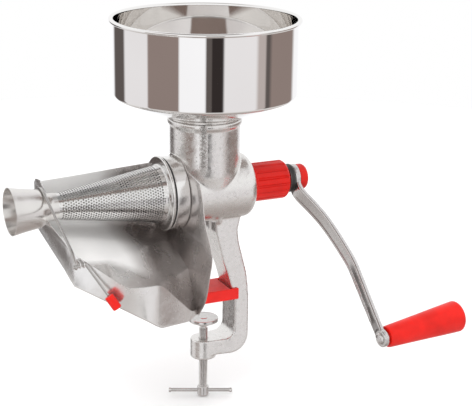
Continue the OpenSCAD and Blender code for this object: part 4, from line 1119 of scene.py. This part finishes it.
# The arm's eye on the shaft, and how far from it the grip's root lies along the shaft and out, mm
EYE_FACE, EYE_THICK = 103.45, 6.0
EYE_MIDDLE = EYE_FACE + EYE_THICK / 2
ARM_OFFSET, ARM_RADIUS = 36.0, 201.0
# Directions along the arm and across it, and how far the grip's line leans from the shaft's
DOWN = np.array([0, -cos(pi / 4), -sin(pi / 4)])
ACROSS = np.array([0, sin(pi / 4), -cos(pi / 4)])
LEAN = radians(5.6)
GRIP_DIRECTION = np.array([cos(LEAN), 0, 0]) - sin(LEAN) * DOWN
GRIP_ROOT = np.array([EYE_MIDDLE + ARM_OFFSET, 0, SHAFT_Z]) + ARM_RADIUS * DOWN
# The arm's middle line: shares of the offset along the shaft and of the radius
ARM_SHARES = [(0, 0.04), (0.02, 0.1), (0.3, 0.2), (0.5, 0.28), (0.66, 0.37), (0.8, 0.47), (0.9, 0.56),
              (0.93, 0.67), (0.945, 0.78), (0.965, 0.89), (0.985, 0.985)]


def on_grip(profile, around, closed=True):
    """A turned form about the grip's own line."""
    return lathe_along(profile, around, GRIP_ROOT, GRIP_DIRECTION, closed)


def make_arm(s):
    """The arm is an outline carried along a flowing curve: a bar with rounded corners and a shallow recess
    along both faces, narrowing to its end. Two turned eyes join it, and the whole is rebuilt from fine
    voxels and smoothed, so that they run into each other as in a casting."""
    line = flowing(ARM_SHARES, 9)
    places = (np.array([EYE_MIDDLE, 0, SHAFT_Z]) + ARM_OFFSET * line[:, :1] * np.array([1.0, 0, 0])
              + ARM_RADIUS * line[:, 1:] * DOWN)
    side = np.cross(unit(np.gradient(places, axis=0)), ACROSS)
    share = np.linspace(0, 1, len(places))[:, None]
    root_width, end_width, half_thick = 21, 13.9, 2.6
    half_width = (root_width - (root_width - end_width) * share) / 2
    deep = s.recess / MM * np.clip(share * 14 - 1, 0, 1) * np.clip((1 - share) * 12 - 1, 0, 1)
    # Across one face: share of the half width, and there the share of the recess and of the thickness
    w = np.array([-1, -0.93, -0.62, -0.5, 0, 0.5, 0.62, 0.93, 1])
    recess = np.array([0, 0, 0, 1, 1, 1, 0, 0, 0])
    low_edge = np.array([0.55, 1, 1, 1, 1, 1, 1, 1, 0.55])
    face = half_thick * low_edge - deep * recess
    across = np.concatenate([half_width * w, half_width * w[::-1]], 1)
    height = np.concatenate([face, -face[:, ::-1]], 1)
    bar = swept(places, np.broadcast_to(ACROSS, places.shape), side, np.stack([across, height], -1))
    bore, radius = 6.55, 15
    eye = lathe(tube(bore, radius, EYE_FACE, EYE_FACE + EYE_THICK, 0.8), 96)
    pin, boss, half = 4.05, 9.6, 2.8
    end = on_grip(tube(pin, boss, -half, half, 0.7), 72)
    shape = piece("crank_bar", [bar, eye, end], "arm_metal", "crank", "crank_arm")
    voxel, passes, sharp = 0.55 * MM, 3, 55
    cast_round(shape, voxel, passes)
    smoothed(shape.data, sharp)


def make_knob():
    """The end knob: a thick turned button with a low dome."""
    start, top, radius = 109.5, 121.0, 14.2
    profile = soften([(0, start), (radius, start), (radius, 116.8), (12.8, 119.2), (9.4, top - 0.5),
                      (5.5, top), (0, top)], [0.7, 1.6, 2.0, 2.5, 1.5], 6)
    piece("crank_end_knob", [lathe(profile, 96, closed=False)], "red_plastic", "crank", "crank_knob")


def make_grip():
    """The grip, its washer and the riveted pin, all turned about the grip's own line."""
    start, size, small, big, bore, collar = 4.7, 98.0, 11.6, 17.0, 4.1, 9.6
    # Share of the way from the small radius to the big one, and share of the length
    shares = [(-0.14, 0.0), (0, 0.02), (0.12, 0.12), (0.42, 0.4), (0.77, 0.7), (0.96, 0.88), (1, 0.93)]
    side = flowing([(small + (big - small) * r, start + size * s) for r, s in shares], 6)
    nose = np.array([(big * cos(a), start + size * (0.93 + 0.07 * sin(a)))
                     for a in np.linspace(0.2, pi / 2, 12)])
    nose[-1, 0] = 0
    floor = start + 79.4
    grip = np.concatenate([[(bore, start), (collar, start), (10.5, start + 0.3)], side[1:], nose,
                           [(0, floor), (bore, floor)]])
    piece("crank_grip", [on_grip(grip, 96)], "red_plastic", "grip_turn", "grip")
    washer = tube(bore, 8.4, 2.55, 3.95, 0.4)
    piece("grip_thrust_washer", [on_grip(washer, 64)], "plated_steel", "crank", "grip_washer")
    pin = soften([(0, start + 78), (4, start + 78), (4, -2.6), (6.4, -2.6), (6.2, -3.5), (5.0, -4.9),
                  (2.6, -5.7), (0, -5.85)], [0.5, 0.1, 0.3, 0.8, 1.2, 1.2], 5)
    piece("grip_rivet", [on_grip(pin, 64, False)], "plated_steel", "crank", "grip_pin")


# Nodes that keep their own mesh, and their finishes
KEPT_NODES = {
    "cone_gasket": "seal", "auger_pin": "plated_steel", "drive_shaft": "plated_steel",
    "shaft_sleeve": "white_nylon", "shaft_seal": "seal", "thrust_washer": "white_nylon",
    "knob_insert": "brass_insert",
}


def finish_kept_nodes():
    """Gives each node that stays its own finish."""
    for node, finish in KEPT_NODES.items():
        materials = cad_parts[node].data.materials
        if not len(materials):
            materials.append(None)
        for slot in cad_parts[node].material_slots:
            slot.material = FINISHES[finish]


# Stage

FLOOR_Z = -0.117


def make_floor(s):
    """A round pale floor just under the clamp's head."""
    rings = np.array([0, 0.4, 0.8, 1.2, 1.5]) / MM
    points, faces = lathe(np.column_stack([rings, np.full(len(rings), FLOOR_Z / MM)]), 96, "Z", False)
    floor = placed("floor", mended(meshed("floor", points, faces.tolist()), turn_out=False))
    f = Finish("pale floor")
    shade = f.mix(f.noise(3, 2), tuple(s.floor), tuple(0.985 * c for c in s.floor))
    floor.data.materials.append(f.surface({"Base Color": shade, "Roughness": 0.55, "Metallic": 0.0}))
    floor.visible_glossy = False


# The shades of the studio's screens, as polished metal sees them
SHADES = {
    "white": (1.0, 1.0, 1.02), "pale": (0.84, 0.82, 0.83), "warm": (0.50, 0.44, 0.42),
    "brown": (0.28, 0.22, 0.20), "dusk": (0.115, 0.098, 0.092), "black": (0.034, 0.027, 0.026),
}
# The screens that stand around the strainer, each from one compass angle to another, in degrees
SCREENS = [
    (-180, -147.5, "brown"), (-145.5, -114.5, "white"), (-112.5, -107, "dusk"), (-106, -93, "black"),
    (-90.5, -50, "pale"), (-45, -36, "warm"), (-33.5, -29.5, "dusk"), (-24, 19, "brown"), (28, 88, "white"),
    (98, 125, "dusk"), (130, 170, "pale"), (172, 180, "brown"),
]
# The tent from below up, and the roof round the compass: place on the ramp, and grey or colour
TENT = [(0.0, (0.36, 0.31, 0.29)), (0.1, (0.50, 0.46, 0.44)), (0.25, (0.76, 0.74, 0.73)), (0.4, 0.86),
        (0.5, 0.96), (0.86, 1.0), (0.93, 0.5), (1.0, 0.3)]
ROOF = [(0.0, SHADES["brown"]), (0.335, SHADES["brown"]), (0.36, SHADES["white"]), (0.93, SHADES["pale"]),
        (0.96, SHADES["brown"])]
# Each lamp's name, size in metres, power in watts, place and aim
LAMPS = [("key", 1.1, 9.0, (-1.3, -1.2, 1.7), (0, 0, 0.08)),
         ("fill", 1.4, 4.0, (1.6, -1.0, 1.3), (0, 0, 0.05)),
         ("trough", 0.5, 6.0, (-0.55, -0.5, 1.2), (-0.13, -0.02, 0.09))]


def background(world, colour, strength=1.0):
    """Even light of one colour and strength."""
    return world.node("ShaderNodeBackground", {}, {"Color": colour, "Strength": strength})


def standing(right, up, back, place):
    """The matrix of a lamp or camera that looks away from its back."""
    rows = [[right[i], up[i], back[i], place[i]] for i in range(3)]
    return Matrix(rows + [[0, 0, 0, 1]])


def make_light(s):
    """The world: white for the camera and soft for matt surfaces. Polished metal sees a studio instead: a
    ring of screens a little below eye height, a bright tent over it, a darker roof with the camera's dark
    side in it, and a pale floor. They are told apart by the compass angle and the height of a direction."""
    world = bpy.data.worlds.new("studio")
    bpy.context.scene.world = world
    w = Shading(world)
    world.cycles.sampling_method = "NONE"
    bpy.context.scene.cycles.glossy_bounces = 12
    x, y, z = w.parts(w.node("ShaderNodeTexCoord", output="Generated"))
    turn = w.maths("ARCTAN2", y, x) / TURN + 0.5
    stops = [((angle + 180) / 360, SHADES[shade]) for start, end, shade in SCREENS for angle in (start, end)]
    screens = w.ramp(turn, stops)
    height = w.spread(z, -1, 1, 0, 1)
    tent, roof = w.ramp(height, TENT), w.ramp(turn, ROOF)
    # How high a direction points, from -1 for down to 1 for up, tells the roof and the ring of screens
    above = w.spread(z, 0.68, 0.74) * w.spread(z, 0.86, 0.92, 1.0, 0.0)
    ring = w.spread(w.maths("ABSOLUTE", z + 0.21), 0.17, 0.25, 1.0, 0.0)
    studio = w.mix(ring, w.mix(above, tent, roof), screens)
    soft = w.ramp(height, [(0.0, 0.75), (0.5, 0.95), (1.0, 1.25)])
    rays = w.node("ShaderNodeLightPath").socket.node.outputs
    camera, glossy = Value(w, rays["Is Camera Ray"]), Value(w, rays["Is Glossy Ray"])
    seen = w.node("ShaderNodeMixShader", {}, {0: glossy, 1: background(w, soft, s.light),
                                              2: background(w, studio)})
    seen = w.node("ShaderNodeMixShader", {}, {0: camera, 1: seen, 2: background(w, (1, 1, 1))})
    w.node("ShaderNodeOutputWorld", {}, {"Surface": seen})
    for name, size, power, place, aim in LAMPS:
        lamp = bpy.data.lights.new(name, "AREA")
        lamp.size = size
        lamp.energy = power
        back = unit(np.array(place) - np.array(aim))
        right = unit(np.cross([0, 0, 1], back))
        holder = placed(name, lamp)
        holder.matrix_world = standing(right, np.cross(back, right), back, place)
        holder.visible_glossy = False


def make_camera(s):
    """The camera stands where the photograph's did, a little above the bowl's middle and to the left."""
    place, roll = (-0.5745, -1.2670, 0.5430), radians(0.82)
    back = np.array([-0.4153, -0.8595, 0.2980])
    level = np.array([0.9004, -0.4351, 0.0])
    steep = np.array([0.1297, 0.2683, 0.9546])
    camera = bpy.data.cameras.new("camera")
    camera.sensor_width = 36.0
    camera.lens = s.lens
    camera.clip_start = 0.01
    holder = placed("camera", camera)
    holder.matrix_world = standing(cos(roll) * level + sin(roll) * steep,
                                   -sin(roll) * level + cos(roll) * steep, back, place)
    bpy.context.scene.camera = holder
    bpy.context.scene.view_settings.view_transform = "Standard"


# Operators and panel

class STRAINER_OT_finishes(bpy.types.Operator):
    """Make the finishes that the pieces share"""
    bl_idname = "strainer.finishes"
    bl_label = "Finishes"

    def execute(self, context):
        make_finishes(context.scene.strainer)
        finish_kept_nodes()
        return {"FINISHED"}


class STRAINER_OT_hopper(bpy.types.Operator):
    """Build the bowl and its neck"""
    bl_idname = "strainer.hopper"
    bl_label = "Hopper"

    def execute(self, context):
        make_hopper(context.scene.strainer.hopper)
        make_neck()
        return {"FINISHED"}


class STRAINER_OT_casting(bpy.types.Operator):
    """Build the cast body and the jaw's shoe"""
    bl_idname = "strainer.casting"
    bl_label = "Cast body"

    def execute(self, context):
        make_casting(context.scene.strainer.casting)
        make_shoe()
        return {"FINISHED"}


class STRAINER_OT_clamp(bpy.types.Operator):
    """Build the clamp screw, its bar and its disc"""
    bl_idname = "strainer.clamp"
    bl_label = "Clamp screw"

    def execute(self, context):
        make_screw(context.scene.strainer.clamp)
        make_bar()
        make_disc()
        return {"FINISHED"}


class STRAINER_OT_cone(bpy.types.Operator):
    """Build the perforated cone, its ring and the outlet cup"""
    bl_idname = "strainer.cone"
    bl_label = "Strainer cone"

    def execute(self, context):
        make_cone(context.scene.strainer.strainer)
        make_cup()
        make_ring()
        return {"FINISHED"}


class STRAINER_OT_guard(bpy.types.Operator):
    """Build the splash guard"""
    bl_idname = "strainer.guard"
    bl_label = "Splash guard"

    def execute(self, context):
        make_guard(context.scene.strainer.guard)
        return {"FINISHED"}


class STRAINER_OT_latch(bpy.types.Operator):
    """Build the latch lever and the retaining wire"""
    bl_idname = "strainer.latch"
    bl_label = "Latch"

    def execute(self, context):
        make_latch(context.scene.strainer.guard)
        make_wire(context.scene.strainer.guard)
        return {"FINISHED"}


class STRAINER_OT_drive(bpy.types.Operator):
    """Build the auger, the rear nut and the collar"""
    bl_idname = "strainer.drive"
    bl_label = "Drive"

    def execute(self, context):
        make_auger()
        make_nut(context.scene.strainer.drive)
        make_washer()
        return {"FINISHED"}


class STRAINER_OT_crank(bpy.types.Operator):
    """Build the crank arm, its knob and the grip"""
    bl_idname = "strainer.crank"
    bl_label = "Crank"

    def execute(self, context):
        make_arm(context.scene.strainer.crank)
        make_knob()
        make_grip()
        return {"FINISHED"}


class STRAINER_OT_stage(bpy.types.Operator):
    """Set up the floor, the light and the camera"""
    bl_idname = "strainer.stage"
    bl_label = "Stage"

    def execute(self, context):
        make_floor(context.scene.strainer.stage)
        make_light(context.scene.strainer.stage)
        make_camera(context.scene.strainer.stage)
        return {"FINISHED"}


SETTINGS = {
    "hopper": HopperSettings, "casting": CastingSettings, "clamp": ClampSettings,
    "strainer": StrainerSettings, "guard": GuardSettings, "drive": DriveSettings, "crank": CrankSettings,
    "stage": StageSettings,
}
STEPS = [STRAINER_OT_finishes, STRAINER_OT_hopper, STRAINER_OT_casting, STRAINER_OT_clamp,
         STRAINER_OT_cone, STRAINER_OT_guard, STRAINER_OT_latch, STRAINER_OT_drive, STRAINER_OT_crank,
         STRAINER_OT_stage]


class StrainerSetup(bpy.types.PropertyGroup):
    """All settings of the strainer"""
    hopper: PointerProperty(type=HopperSettings)
    casting: PointerProperty(type=CastingSettings)
    clamp: PointerProperty(type=ClampSettings)
    strainer: PointerProperty(type=StrainerSettings)
    guard: PointerProperty(type=GuardSettings)
    drive: PointerProperty(type=DriveSettings)
    crank: PointerProperty(type=CrankSettings)
    stage: PointerProperty(type=StageSettings)


class STRAINER_PT_panel(bpy.types.Panel):
    """The steps of the build and their settings"""
    bl_idname = "STRAINER_PT_panel"
    bl_label = "Tomato strainer"
    bl_space_type = "VIEW_3D"
    bl_region_type = "UI"
    bl_category = "Strainer"

    def draw(self, context):
        for step in STEPS:
            self.layout.operator(step.bl_idname)
        for name, group in SETTINGS.items():
            box = self.layout.box()
            box.label(text=name.capitalize())
            for setting in group.__annotations__:
                box.prop(getattr(context.scene.strainer, name), setting)


CLASSES = [*SETTINGS.values(), StrainerSetup, *STEPS, STRAINER_PT_panel]


def register():
    for each in CLASSES:
        bpy.utils.register_class(each)
    bpy.types.Scene.strainer = PointerProperty(type=StrainerSetup)


def unregister():
    del bpy.types.Scene.strainer
    for each in reversed(CLASSES):
        bpy.utils.unregister_class(each)


def main():
    """Registers the add-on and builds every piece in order."""
    register()
    for step in STEPS:
        group, action = step.bl_idname.split(".")
        getattr(getattr(bpy.ops, group), action)()


if __name__ == "__main__":
    main()
